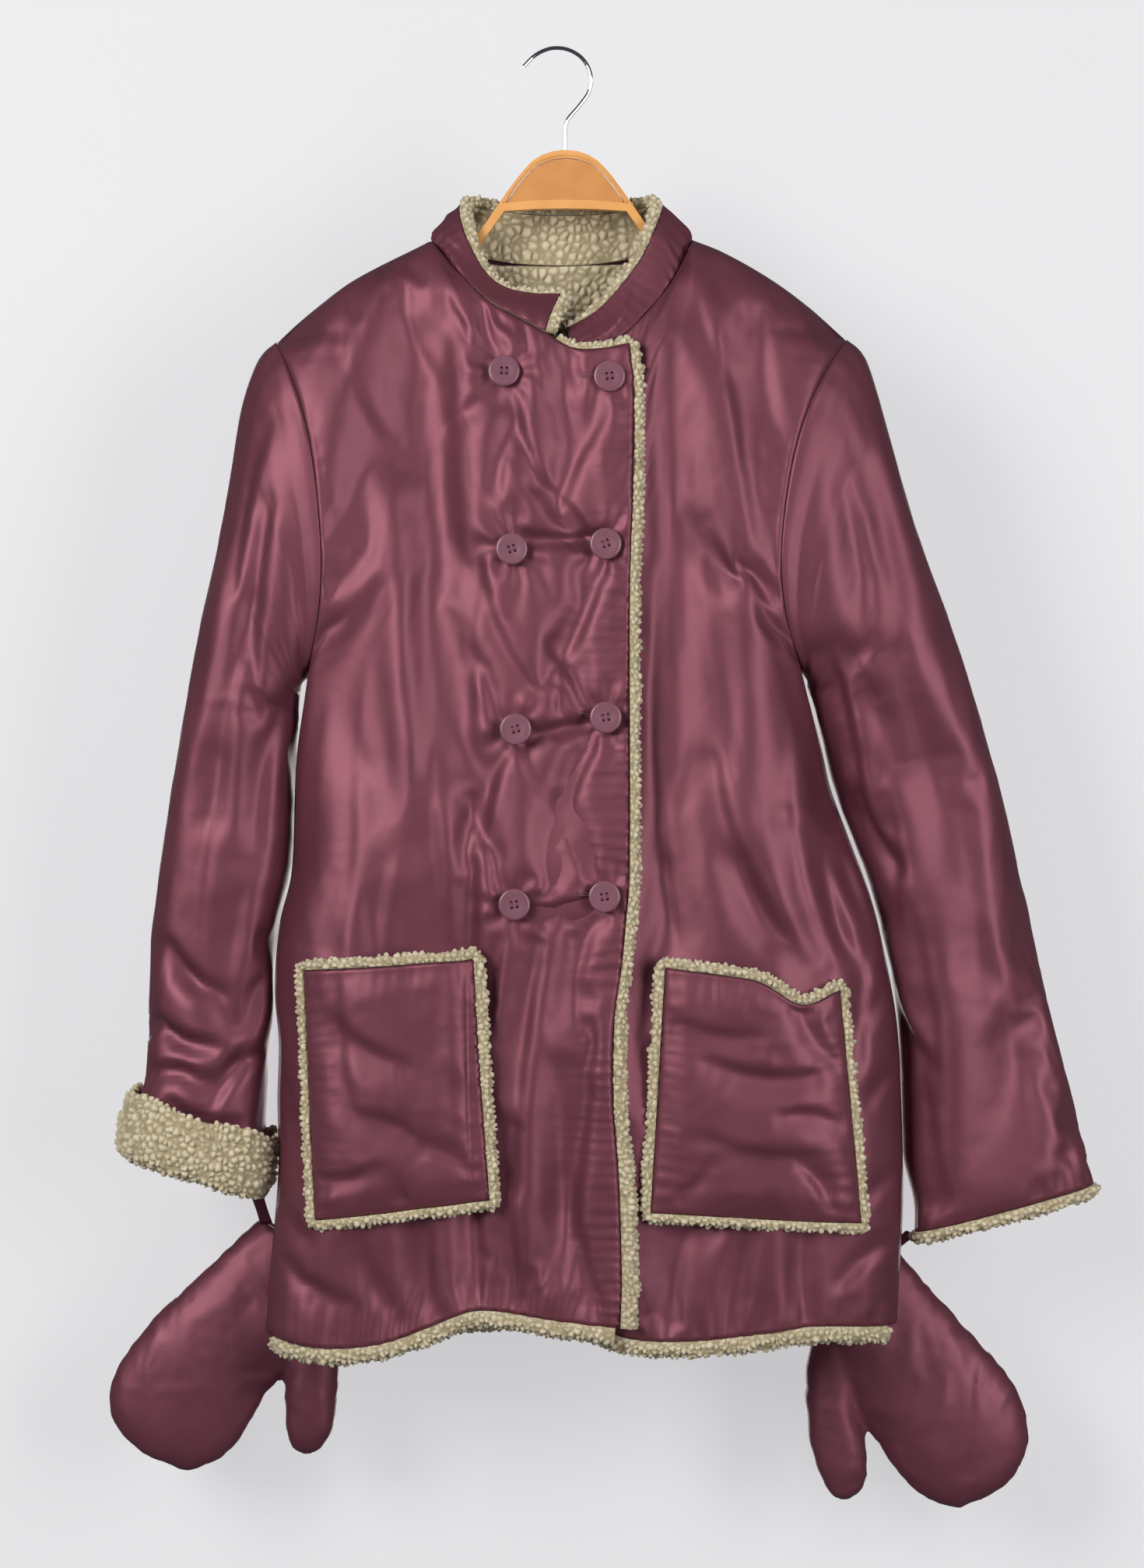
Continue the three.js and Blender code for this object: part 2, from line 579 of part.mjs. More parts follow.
// Inside point of a panel's edge where it meets its neighbour
function edgeInside(panel, side, point, row) {
  const { face } = PANELS[panel];
  const sign = side === 'right' ? 1 : -1;
  const seam = face === 'front' ? -SEAM_GAP / 2 : SEAM_GAP / 2;
  if (row >= SIDE_ROWS) {
    const rows = side === 'right' ? SLEEVE_RIGHT : SLEEVE_LEFT;
    return armhole(rows, face, WALL)[row - SIDE_ROWS].clone().add(vec(0, seam, 0));
  }
  return vec(point.x + sign * WALL, point.y, point.z);
}

// Inside point under a shoulder seam or at the neckline
function topInside(panel, point) {
  if (point.x < NECK_RIGHT_X || point.x > NECK_LEFT_X) {
    const slope = (topZ(panel, point.x + 1) - topZ(panel, point.x - 1)) / 2;
    const down = vec(slope, 0, -1).normalize();
    return point.clone().addScaledVector(down, WALL);
  }
  const inward = neckInward(point).add(vec(0, 0, -NECK_EDGE_SLOPE)).normalize();
  return point.clone().addScaledVector(inward, WALL);
}

function neckInward(point) {
  return vec(NECK_AXIS.x - point.x, NECK_AXIS.y - point.y, 0).normalize();
}

// Outer and inner grids of one panel of the body
function panelGrids(panel) {
  const columns = COLUMNS[panel];
  const nearSide = panel === 'frontLeft' ? 'left' : 'right';
  const hem = hems[panel];
  const sideFoot = nearSide === 'right' ? SIDE_RIGHT[0] : SIDE_LEFT[0];
  const sideZ = sideRows(nearSide, sideFoot.z);
  const first = sideZ.map((z) => ({ x: sideX(nearSide, z), z }));
  const last = farEdge(panel, sideZ);
  const top = columns.map((x) => ({ x, z: topZ(panel, x) }));
  const span = columns[columns.length - 1] - columns[0];
  const foot = columns.map((x) => {
    const hemX = mix(first[0].x, last[0].x, (x - columns[0]) / span);
    return { x: hemX, z: hem(hemX) };
  });
  const places = coonsGrid(foot, top, first, last);
  const outer = places.map((row) => row.map(({ x, z }) => bodyPoint(panel, x, z)));
  const rowCount = outer.length;
  const columnCount = columns.length;
  const farSide = panel === 'back' ? 'left' : null;
  const inner = outer.map((row, r) => row.map((point, c) => {
    if (c === 0) return edgeInside(panel, nearSide, point, r);
    if (c === columnCount - 1 && farSide) return edgeInside(panel, farSide, point, r);
    if (r === rowCount - 1) return topInside(panel, point);
    return point.clone().addScaledVector(bodyInward(panel, point.x, point.z), WALL);
  }));
  return { outer, inner };
}

const body = Object.fromEntries(Object.keys(PANELS).map((panel) => [panel, panelGrids(panel)]));
const BODY_NAMES = { frontRight: 'front_right', frontLeft: 'front_left', back: 'back' };
for (const [panel, { outer, inner }] of Object.entries(body)) {
  add(BODY_NAMES[panel], wall(outer, inner), nylon());
}

// Sleeves

function sleeveGrids(rows, side) {
  const away = vec(side === 'right' ? -ARMHOLE_GAP : ARMHOLE_GAP, 0, 0);
  const moved = (ring, r) => (r === 0 ? ring.map((p) => p.clone().add(away)) : ring);
  return {
    outer: rows.map((row, r) => moved(sleeveRing(row), r)),
    inner: rows.map((row, r) => moved(sleeveRing(row, WALL), r)),
  };
}

const sleeves = {
  right: sleeveGrids(SLEEVE_RIGHT, 'right'),
  left: sleeveGrids(SLEEVE_LEFT, 'left'),
};
for (const side of ['right', 'left']) {
  add(`sleeve_${side}`, wall(sleeves[side].outer, sleeves[side].inner, true), nylon());
}

// A pile roll along an edge of cloth: pairs of outer and inner edge points, moved out
function roll(pairs, section, { loop = false, turn = 1, scale = () => 1 } = {}) {
  const count = pairs.length;
  const middles = pairs.map(([a, b]) => a.clone().add(b).multiplyScalar(0.5));
  const at = (i) => middles[loop ? (i + count) % count : Math.min(Math.max(i, 0), count - 1)];
  const sections = pairs.map(([outer, inner], i) => {
    const acrossCloth = inner.clone().sub(outer);
    const thick = acrossCloth.length();
    acrossCloth.normalize();
    const back = at(i).clone().sub(at(i - 1));
    const ahead = at(i + 1).clone().sub(at(i));
    const before = back.lengthSq() > 0 ? back.normalize() : ahead.clone().normalize();
    const after = ahead.lengthSq() > 0 ? ahead.normalize() : before.clone();
    const along = before.clone().add(after).normalize();
    const out = along.clone().cross(acrossCloth).normalize().multiplyScalar(turn);
    const mitre = 1 / Math.max(along.dot(after), 0.7);
    const size = scale(i / (count - 1));
    return section.map((row) => {
      const reach = row.out > ROLL_SEAT ? row.out * size : row.out;
      return middles[i].clone()
        .addScaledVector(out, reach * mitre)
        .addScaledVector(acrossCloth, row.across * thick * (row.out > ROLL_SEAT ? size ** 0.5 : 1));
    });
  });
  return loft(sections, loop);
}

const rowPairs = ({ outer, inner }, row) => outer[row].map((point, c) => [point, inner[row][c]]);
const columnPairs = ({ outer, inner }, column) => outer.map((row, r) => [row[column], inner[r][column]]);

// Lap edging: along the free top of the right front, round its corner and down to the hem
{
  const { frontRight } = body;
  const top = rowPairs(frontRight, frontRight.outer.length - 1).slice(-3);
  const down = columnPairs(frontRight, COLUMNS.frontRight.length - 1).reverse().slice(1);
  const { share, from, over } = PLACKET_GROWTH;
  const grow = (t) => 1 + share * smoothStep((t - from) / over);
  add('placket_edge', roll([...top, ...down], ROLL_SECTION, { turn: 1, scale: grow }), pile());
}

// Hem edging under each panel, drawn back a little from the side seams

function seamEnd([outer], [nextOuter, nextInner], share) {
  const end = outer.clone().lerp(nextOuter, share);
  return [end, end.clone().add(nextInner).sub(nextOuter)];
}

function hemPairs(panel) {
  const pairs = rowPairs(body[panel], 0);
  pairs[0] = seamEnd(pairs[0], pairs[1], HEM_END);
  const last = pairs.length - 1;
  const share = panel === 'back' ? HEM_END : HEM_LAP_END;
  pairs[last] = seamEnd(pairs[last], pairs[last - 1], share);
  return panel === 'frontLeft' ? pairs.slice(0, -HEM_UNDER_LAP) : pairs;
}

for (const panel of Object.keys(body)) {
  const pairs = hemPairs(panel);
  const turn = panel === 'frontRight' ? -1 : 1;
  add(`hem_edge_${BODY_NAMES[panel]}`, roll(pairs, ROLL_SECTION, { turn, scale: () => HEM_SCALE }), pile());
}

// Collar: stands on the neckline and leans to the neck

function collarStation(row) {
  const base = bodyPoint(row.panel, row.baseX, topZ(row.panel, row.baseX));
  base.z += COLLAR_SEAT;
  const top = vec(row.topX, row.topY, row.topZ);
  const out = vec(base.x - NECK_AXIS.x, base.y - NECK_AXIS.y, 0).normalize();
  return { base, top, out };
}

const stations = COLLAR.map(collarStation);
const collarPlaces = Array.from({ length: COLLAR_ROWS + 1 }, (_, r) => stations.map(({ base, top, out }) => {
  const t = r / COLLAR_ROWS;
  const bulge = COLLAR_BULGE * 4 * t * (1 - t);
  return base.clone().lerp(top, t).addScaledVector(out, bulge);
}));

// Inward normals of a grid of points
function gridInward(grid, r, c, centre) {
  const rows = grid.length - 1;
  const columns = grid[0].length - 1;
  const alongRow = grid[r][Math.min(c + 1, columns)].clone().sub(grid[r][Math.max(c - 1, 0)]);
  const upColumn = grid[Math.min(r + 1, rows)][c].clone().sub(grid[Math.max(r - 1, 0)][c]);
  const normal = alongRow.cross(upColumn).normalize();
  const inward = centre.clone().sub(grid[r][c]);
  return normal.dot(inward) < 0 ? normal.negate() : normal;
}

function collarLayer(depth) {
  return collarPlaces.map((row, r) => row.map((point, c) => {
    const centre = vec(NECK_AXIS.x, NECK_AXIS.y, point.z);
    const inward = r === 0 ? neckInward(point) : gridInward(collarPlaces, r, c, centre);
    inward.z *= (r / COLLAR_ROWS) ** 2;
    return point.clone().addScaledVector(inward.normalize(), depth);
  }));
}

const collarInside = collarLayer(SHELL + SEAM_GAP + LINING);
add('collar', wall(collarPlaces, collarLayer(SHELL)), nylon());
add('collar_lining', wall(collarLayer(SHELL + SEAM_GAP), collarInside), pile());

// Collar edging: up the front end of the right front, then round the top
{
  const frontEnd = collarPlaces.map((row, r) => [row[0], collarInside[r][0]]).slice(0, -1);
  const top = collarPlaces[COLLAR_ROWS].map((point, c) => [point, collarInside[COLLAR_ROWS][c]]);
  add('collar_edge', roll([...frontEnd, ...top], ROLL_SECTION, { turn: -1 }), pile());
}

// Pile lining that shows inside the back of the neck
{
  const grid = body.back;
  const from = COLUMNS.back.indexOf(-84);
  const to = COLUMNS.back.indexOf(92);
  const rowsDown = [1, 2, 3, 4].map((r) => grid.inner.length - r).reverse();
  const layer = (depth) => rowsDown.map((r) => grid.inner[r].slice(from, to + 1).map((point, c) => {
    const outer = grid.outer[r][from + c];
    const inward = point.clone().sub(outer).normalize();
    return point.clone().addScaledVector(inward, depth);
  }));
  add('neck_lining', wall(layer(SEAM_GAP), layer(SEAM_GAP + LINING)), pile());
}

// Cuffs

function endFrame(rows) {
  const last = rows[rows.length - 1];
  const before = rows[rows.length - 2];
  const middle = (row) => vec((row.outX + row.inX) / 2, row.midY, (row.outZ + row.inZ) / 2);
  const edge = vec(last.outX - last.inX, 0, last.outZ - last.inZ).normalize();
  const up = vec(-edge.z, 0, edge.x);
  const rise = middle(before).sub(middle(last));
  return { middle: middle(last), up: up.dot(rise) < 0 ? up.negate() : up };
}

function ringOutward(ring, k, middle) {
  const next = ring[(k + 1) % ARM_SIDES];
  const before = ring[(k + ARM_SIDES - 1) % ARM_SIDES];
  const along = next.clone().sub(before).normalize();
  const out = ring[k].clone().sub(middle);
  return out.addScaledVector(along, -out.dot(along)).normalize();
}

// The turned cuff follows the sleeve's own outside as it goes up
{
  const { middle, up } = endFrame(SLEEVE_RIGHT);
  const ring = sleeves.right.outer[SLEEVE_RIGHT.length - 1];
  const higher = sleeves.right.outer[SLEEVE_RIGHT.length - 3];
  const sections = ring.map((point, k) => {
    const out = ringOutward(ring, k, middle);
    const lie = higher[k].clone().sub(point);
    const slant = lie.addScaledVector(out, -lie.dot(out) * TURNBACK_SETTLE).normalize();
    const share = mix(TURNBACK_INNER_SHARE, 1, (1 + Math.cos((k * 2 * Math.PI) / ARM_SIDES)) / 2);
    return TURNBACK_SECTION.map((row) => {
      const reach = row.out > TURNBACK_SEAT ? row.out * share : row.out;
      return point.clone().addScaledVector(out, reach).addScaledVector(row.up > 0 ? slant : up, row.up);
    });
  });
  add('cuff_turnback_right', loft(sections, true), pile());
}

{
  const last = SLEEVE_LEFT.length - 1;
  const pairs = rowPairs(sleeves.left, last);
  add('cuff_edge_left', roll(pairs, ROLL_SECTION, { loop: true, turn: -1, scale: () => CUFF_ROLL_SCALE }), pile());
}

// Pockets: made from the front's own points, moved out and open at the top

function pocketLayer(pocket, out) {
  return Array.from({ length: POCKET.rows + 1 }, (_, r) => Array.from({ length: POCKET.columns + 1 }, (__, c) => {
    const across = c / POCKET.columns;
    const up = r / POCKET.rows;
    const dip = pocket.dip * up ** POCKET_DIP.fade * Math.exp(-(((across - POCKET_DIP.at) / POCKET_DIP.wide) ** 2));
    const x = mix(mix(pocket.blX, pocket.brX, across), mix(pocket.tlX, pocket.trX, across), up);
    const z = mix(mix(pocket.blZ, pocket.brZ, across), mix(pocket.tlZ, pocket.trZ, across), up) - dip;
    const belly = (4 * across * (1 - across)) ** POCKET_BELLY.round * quarter(up * POCKET_BELLY.rise);
    const stand = pocket.seat + POCKET.gape * belly + out;
    const inward = bodyInward(pocket.panel, x, z);
    return bodyPoint(pocket.panel, x, z).addScaledVector(inward, -stand);
  }));
}

for (const pocket of POCKETS) {
  const outer = pocketLayer(pocket, POCKET.wall);
  const inner = pocketLayer(pocket, 0);
  add(`pocket_${pocket.name}`, wall(outer, inner), nylon());
  const grids = { outer, inner };
  const foot = rowPairs(grids, 0);
  const far = columnPairs(grids, POCKET.columns).slice(1, -1);
  const top = rowPairs(grids, POCKET.rows).reverse();
  const near = columnPairs(grids, 0).reverse().slice(1, -1);
  const ring = [...foot, ...far, ...top, ...near];
  add(`pocket_edge_${pocket.name}`, roll(ring, POCKET_ROLL_SECTION, { loop: true, turn: -1 }), pile());
}

// Buttons: four holes, each seated flat on the cloth under it

function buttonGeometry() {
  const disc = new THREE.Shape();
  const ring = (shape, x, y, radius, sides, start) => {
    for (let k = 0; k < sides; k += 1) {
      const angle = start + (k * 2 * Math.PI) / sides;
      const method = k === 0 ? 'moveTo' : 'lineTo';
      shape[method](x + radius * Math.cos(angle), y + radius * Math.sin(angle));
    }
    shape.closePath();
  };
  ring(disc, 0, 0, BUTTON.radius, BUTTON.sides, 0);
  for (const [x, y] of [[-1, -1], [1, -1], [1, 1], [-1, 1]]) {
    const hole = new THREE.Path();
    ring(hole, x * BUTTON.holeAt, y * BUTTON.holeAt, BUTTON.hole, 4, 0);
    disc.holes.push(hole);
  }
  return new THREE.ExtrudeGeometry(disc, { depth: BUTTON.thick, bevelEnabled: false, curveSegments: 1 });
}

BUTTONS.forEach((row, i) => {
  const outward = bodyInward('frontRight', row.x, row.z).negate();
  const mesh = add(`button_${i + 1}`, buttonGeometry(), moulded());
  const seat = bodyPoint('frontRight', row.x, row.z).addScaledVector(outward, BUTTON_LIFT);
  mesh.position.copy(seat);
  mesh.quaternion.setFromUnitVectors(vec(0, 0, 1), outward);
});

// Mittens: a hollow hand and thumb, joined, open at the wrist

function mittenSolid(rows, inset, reachBack) {
  const rings = rows.map((row) => {
    const half = vec((row.ax - row.bx) / 2, 0, (row.az - row.bz) / 2);
    return {
      middle: vec((row.ax + row.bx) / 2, MITTEN.midY, (row.az + row.bz) / 2),
      wide: Math.max(half.length() - inset, MITTEN.least),
      deep: Math.max(row.deep - inset, MITTEN.least),
      half: half.normalize(),
    };
  });
  const end = rings[rings.length - 1];
  const ahead = end.middle.clone().sub(rings[rings.length - 2].middle).normalize();
  const lead = rings[0].middle.clone().sub(rings[1].middle).normalize();
  rings[0].middle.addScaledVector(lead, reachBack);
  const tipMiddle = end.middle.clone().addScaledVector(ahead, MITTEN.tip);
  const tip = { middle: tipMiddle, half: end.half, wide: MITTEN.tipWide, deep: MITTEN.tipDeep };
  const used = inset > 0 ? rings.slice(0, -1) : [...rings, tip];
  return loft(used.map(({ middle, half, wide, deep }) => Array.from({ length: MITTEN.sides }, (_, k) => {
    const angle = (k * 2 * Math.PI) / MITTEN.sides;
    const along = Math.sign(Math.cos(angle)) * Math.abs(Math.cos(angle)) ** MITTEN.round;
    const across = Math.sign(Math.sin(angle)) * Math.abs(Math.sin(angle)) ** MITTEN.round;
    return middle.clone().addScaledVector(half, wide * along).add(vec(0, deep * across, 0));
  })));
}

const MITTENS = { right: [MITTEN_HAND_RIGHT, MITTEN_THUMB_RIGHT], left: [MITTEN_HAND_LEFT, MITTEN_THUMB_LEFT] };
for (const [side, [hand, thumb]] of Object.entries(MITTENS)) {
  const outside = toManifold(mittenSolid(hand, 0, 0)).add(toManifold(mittenSolid(thumb, 0, 0)));
  const hollowHand = toManifold(mittenSolid(hand, MITTEN.wall, WRIST_CUT));
  const inside = hollowHand.add(toManifold(mittenSolid(thumb, MITTEN.wall, 0)));
  add(`mitten_${side}`, fromManifold(outside.subtract(inside)), nylon());
}

// Straps from the cuffs down to the mittens
for (const strap of STRAPS) {
  const top = vec(strap.topX, strap.topY, strap.topZ);
  const foot = vec(strap.footX, strap.footY, strap.footZ);
  const along = foot.clone().sub(top).normalize();
  const wide = vec(1, 0, 0).addScaledVector(along, -along.x).normalize().multiplyScalar(STRAP.wide / 2);
  const thick = along.clone().cross(wide).normalize().multiplyScalar(STRAP.thick / 2);
  const section = (middle) => [[-1, -1], [1, -1], [1, 1], [-1, 1]].map(([a, b]) =>
    middle.clone().addScaledVector(wide, a).addScaledVector(thick, b));
  add(`mitten_strap_${strap.name}`, loft([section(top), section(foot)]), nylon());
}

// Hanger: a moulded frame with a thin panel in its arch, and the wire hook

function mirrored(rows, middleZ) {
  const rightHalf = rows.map(({ half, z }) => [HANGER.midX + half, z]);
  const leftHalf = rows.map(({ half, z }) => [HANGER.midX - half, z]).reverse();
  return middleZ === undefined ? [...leftHalf, ...rightHalf] : [...leftHalf, [HANGER.midX, middleZ], ...rightHalf];
}

function outline(ShapeClass, points) {
  const shape = new ShapeClass();
  points.forEach(([x, z], i) => (i === 0 ? shape.moveTo(x, z) : shape.lineTo(x, z)));
  shape.closePath();
  return shape;
}

// Turns a shape drawn as seen from the front into a plate about the plane y = 0
function plate(shape, thick) {
  const geometry = new THREE.ExtrudeGeometry(shape, { depth: thick, bevelEnabled: false, curveSegments: 1 });
  geometry.rotateX(Math.PI / 2);
  geometry.translate(0, thick / 2, 0);
  return geometry;
}

{
  const over = mirrored(HANGER_TOP.slice(1), HANGER_TOP[0].z);
  const under = mirrored([...HANGER_UNDER].reverse(), HANGER_UNDER_MID_Z).reverse();
  const arch = PANEL_EDGE.slice(0, -1);
  const footShoulder = PANEL_EDGE[PANEL_EDGE.length - 1];
  const panelLine = (shrink) => {
    const upper = mirrored(arch, PANEL_TOP_Z);
    const low = [
      [HANGER.midX + footShoulder.half, footShoulder.z],
      [HANGER.midX, PANEL_FOOT_Z],
      [HANGER.midX - footShoulder.half, footShoulder.z],
    ];
    const middle = [HANGER.midX, (PANEL_TOP_Z + PANEL_FOOT_Z) / 2 - PANEL_SAG];
    return [...upper, ...low].map((point) => point.map((v, axis) => mix(v, middle[axis], shrink)));
  };
  const frame = outline(THREE.Shape, [...over, ...under].reverse());
  frame.holes.push(outline(THREE.Path, panelLine(0)));
  add('hanger_body', plate(frame, HANGER.thick), material('#efb779', 0.45));
  add('hanger_panel', plate(outline(THREE.Shape, panelLine(PANEL_SHRINK)), HANGER.panelThick), material('#dda166', 0.45));
}

{
  const points = [...HOOK_PATH.map(({ x, z }) => vec(x, 0, z)), vec(HOOK.stemX, 0, HOOK.stemZ)];
  const path = new THREE.CatmullRomCurve3(points, false, 'centripetal');
  const section = new THREE.Shape();
  for (let k = 0; k < HOOK.sides; k += 1) {
    const angle = (k * 2 * Math.PI) / HOOK.sides;
    const method = k === 0 ? 'moveTo' : 'lineTo';
    section[method](HOOK.radius * Math.cos(angle), HOOK.radius * Math.sin(angle));
  }
  const wire = new THREE.ExtrudeGeometry(section, { steps: HOOK.steps, extrudePath: path, curveSegments: 1 });
  add('hanger_hook', wire, material('#c9ccd0', 0.15, 1));
}

export default jacket;
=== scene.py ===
# %% [markdown]
# # A padded jacket on a hanger
# This lesson dresses the plain solids of a padded coat-jacket that hangs on a moulded hanger.
# The real jacket is satin nylon over loose wadding, lined and edged with a curled pile, so almost
# everything the eye reads is cloth: soft folds, puckered seams and a crumbly pile. The hard parts,
# which are the buttons, the hanger and its wire hook, are small but sharp, and set the scale.
# Positions are measured in millimetres and turned to metres in one place.

# %% Load the frame
import json
import math
import bmesh
import bpy
import numpy as np
from mathutils import Matrix, Vector

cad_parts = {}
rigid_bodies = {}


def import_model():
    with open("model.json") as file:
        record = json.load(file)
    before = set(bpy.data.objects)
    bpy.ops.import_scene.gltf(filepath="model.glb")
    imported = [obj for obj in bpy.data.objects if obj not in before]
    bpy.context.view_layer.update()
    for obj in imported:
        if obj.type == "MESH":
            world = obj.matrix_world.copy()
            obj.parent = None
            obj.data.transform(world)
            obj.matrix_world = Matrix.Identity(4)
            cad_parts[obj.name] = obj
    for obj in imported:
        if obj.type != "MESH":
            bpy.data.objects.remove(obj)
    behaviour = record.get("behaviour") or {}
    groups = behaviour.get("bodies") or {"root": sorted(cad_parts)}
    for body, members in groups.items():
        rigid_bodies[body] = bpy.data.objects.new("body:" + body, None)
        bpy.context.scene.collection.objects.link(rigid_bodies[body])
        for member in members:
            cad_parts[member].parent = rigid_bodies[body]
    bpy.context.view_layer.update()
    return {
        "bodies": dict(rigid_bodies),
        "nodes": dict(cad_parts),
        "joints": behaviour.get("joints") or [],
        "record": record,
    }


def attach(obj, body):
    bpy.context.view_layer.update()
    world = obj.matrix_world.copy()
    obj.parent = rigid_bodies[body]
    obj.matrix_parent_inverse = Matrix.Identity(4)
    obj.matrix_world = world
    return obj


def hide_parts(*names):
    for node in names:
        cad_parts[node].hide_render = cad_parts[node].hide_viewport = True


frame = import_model()
MM = 0.001

# %% [markdown]
# ## The camera
# A flat garment shot is taken from far off with a long lens, level with the middle of the garment,
# so that nothing leans. A far camera also keeps the sleeves as wide as they are in life.

# %% Camera
PHOTO_HIGH_MM = 1208.4  # what the frame's long side sees at the front of the cloth
CAMERA_AWAY_MM = 2800.0
CAMERA_AT_MM = (12.2, -2850.0, -575.9)
SENSOR_MM = 36.0

camera_data = bpy.data.cameras.new("camera")
camera_data.sensor_width = SENSOR_MM
camera_data.lens = SENSOR_MM * CAMERA_AWAY_MM / PHOTO_HIGH_MM
camera = bpy.data.objects.new("camera", camera_data)
bpy.context.scene.collection.objects.link(camera)
camera.location = Vector(CAMERA_AT_MM) * MM
camera.rotation_euler = (math.pi / 2, 0, 0)
bpy.context.scene.camera = camera
print("lens:", round(camera_data.lens, 1), "mm")

# %% [markdown]
# ## Curves through measured tables
# Outlines are measured at a few heights only. A smooth curve through those points gives the edge
# everywhere else, just as a tailor joins chalk marks with a curved rule.

# %% Small helpers
def table(columns, rows):
    return {name: np.array([row[i] for row in rows], float) for i, name in enumerate(columns)}


def curve(start, value):
    order = np.argsort(start)
    xs, ys = np.asarray(start, float)[order], np.asarray(value, float)[order]
    slope = np.empty_like(ys)
    gap = (xs[2:] - xs[:-2]).reshape((-1,) + (1,) * (ys.ndim - 1))
    slope[1:-1] = (ys[2:] - ys[:-2]) / gap
    slope[0], slope[-1] = (ys[1] - ys[0]) / (xs[1] - xs[0]), (ys[-1] - ys[-2]) / (xs[-1] - xs[-2])

    def at(place):
        place = np.clip(place, xs[0], xs[-1])
        i = np.clip(np.searchsorted(xs, place) - 1, 0, len(xs) - 2)
        span = (xs[i + 1] - xs[i]).reshape(np.shape(i) + (1,) * (ys.ndim - 1))
        t = (place - xs[i]).reshape(span.shape) / span
        rise = ys[i + 1] - ys[i]
        first, last = slope[i] * span, slope[i + 1] * span
        bend, lean = first + last - 2 * rise, 3 * rise - 2 * first - last
        return ys[i] + t * (first + t * (lean + t * bend))

    return at


def mix(a, b, t):
    return a + (b - a) * t


def smooth_step(t):
    t = np.clip(t, 0, 1)
    return t * t * (3 - 2 * t)


def quarter(t):
    return np.sqrt(1 - (1 - np.clip(t, 0, 1)) ** 2)


def unit(v):
    return v / np.maximum(np.linalg.norm(v, axis=-1, keepdims=True), 1e-9)


print("half way round a quarter circle:", round(float(quarter(0.5)), 3))

# %% [markdown]
# ## Cloth that is never quite smooth
# Wadding bunches and satin creases, so each surface gets an uneven relief on top of its folds.
# Smooth random values on a lattice give soft lumps. Folding those values about zero gives creases,
# because cloth bends sharply along thin lines and stays soft between them.

# %% Uneven relief
rng = np.random.default_rng(7)
LATTICE_SIDE = 64
LATTICE = rng.uniform(-1, 1, (LATTICE_SIDE, LATTICE_SIDE))


def lumps(u, v):
    iu, iv = np.floor(u).astype(int), np.floor(v).astype(int)
    fu, fv = smooth_step(u - iu), smooth_step(v - iv)
    left, right = iu % LATTICE_SIDE, (iu + 1) % LATTICE_SIDE
    lower, upper = iv % LATTICE_SIDE, (iv + 1) % LATTICE_SIDE
    low = mix(LATTICE[left, lower], LATTICE[right, lower], fu)
    high = mix(LATTICE[left, upper], LATTICE[right, upper], fu)
    return mix(low, high, fv)


def creases(u, v, wander=0.6):
    bent_u = u + wander * lumps(u * 0.7 + 9.1, v * 0.7 + 3.7)
    bent_v = v + wander * lumps(u * 0.7 + 21.3, v * 0.7 + 40.9)
    return np.abs(lumps(bent_u, bent_v)) + 0.5 * np.abs(lumps(bent_u * 2.1 + 5, bent_v * 2.1 + 8))


tried = creases(rng.uniform(0, 50, 999), rng.uniform(0, 50, 999))
print("relief runs to", round(float(tried.max()), 2))

# %% [markdown]
# ## Materials
# Each finish is mixed from what it really is: fibre, moulded plastic or metal. One function turns
# the sRGB colours that a person reads off a screen into the linear ones that light needs, and one
# adds a node with its settings and links.

# %% Colour and node helpers
def linear(text):
    channels = [int(text[i:i + 2], 16) / 255 for i in (1, 3, 5)]
    return tuple(c / 12.92 if c <= 0.04045 else ((c + 0.055) / 1.055) ** 2.4 for c in channels) + (1.0,)


def node(tree, kind, settings=None, values=None, links=None):
    made = tree.nodes.new(kind)
    for name, value in (settings or {}).items():
        setattr(made, name, value)
    for name, value in (values or {}).items():
        made.inputs[name].default_value = value
    for name, source in (links or {}).items():
        tree.links.new(source, made.inputs[name])
    return made


def new_material(name):
    material = bpy.data.materials.new(name)
    material.use_nodes = True
    material.node_tree.nodes.clear()
    return material, material.node_tree


def finish_material(tree, shader):
    node(tree, "ShaderNodeOutputMaterial", links={"Surface": shader.outputs[0]})


print("burgundy in linear light:", [round(c, 3) for c in linear("#744653")])

# %% [markdown]
# ## Nylon taffeta
# The shell is a calendered nylon taffeta: fine flat yarns pressed between hot rollers. Light
# bounces between dyed yarns before it leaves, so the broad sheen is rose, not white. A plastic
# shader would give white highlights, so the finish is mixed part way to metal, whose reflection
# takes the base colour. The yarns are about 0.1 mm apart, far too fine to show, so the weave is
# drawn at 0.9 mm as the faintest ripple.

# %% Nylon material
NYLON_CLOUD_MM = 60.0
NYLON_SOFT_MM = 22.0
NYLON_WEAVE_MM = 0.9
WAVE_SCALE = 0.16  # divided by the spacing, it gives the wave node its scale


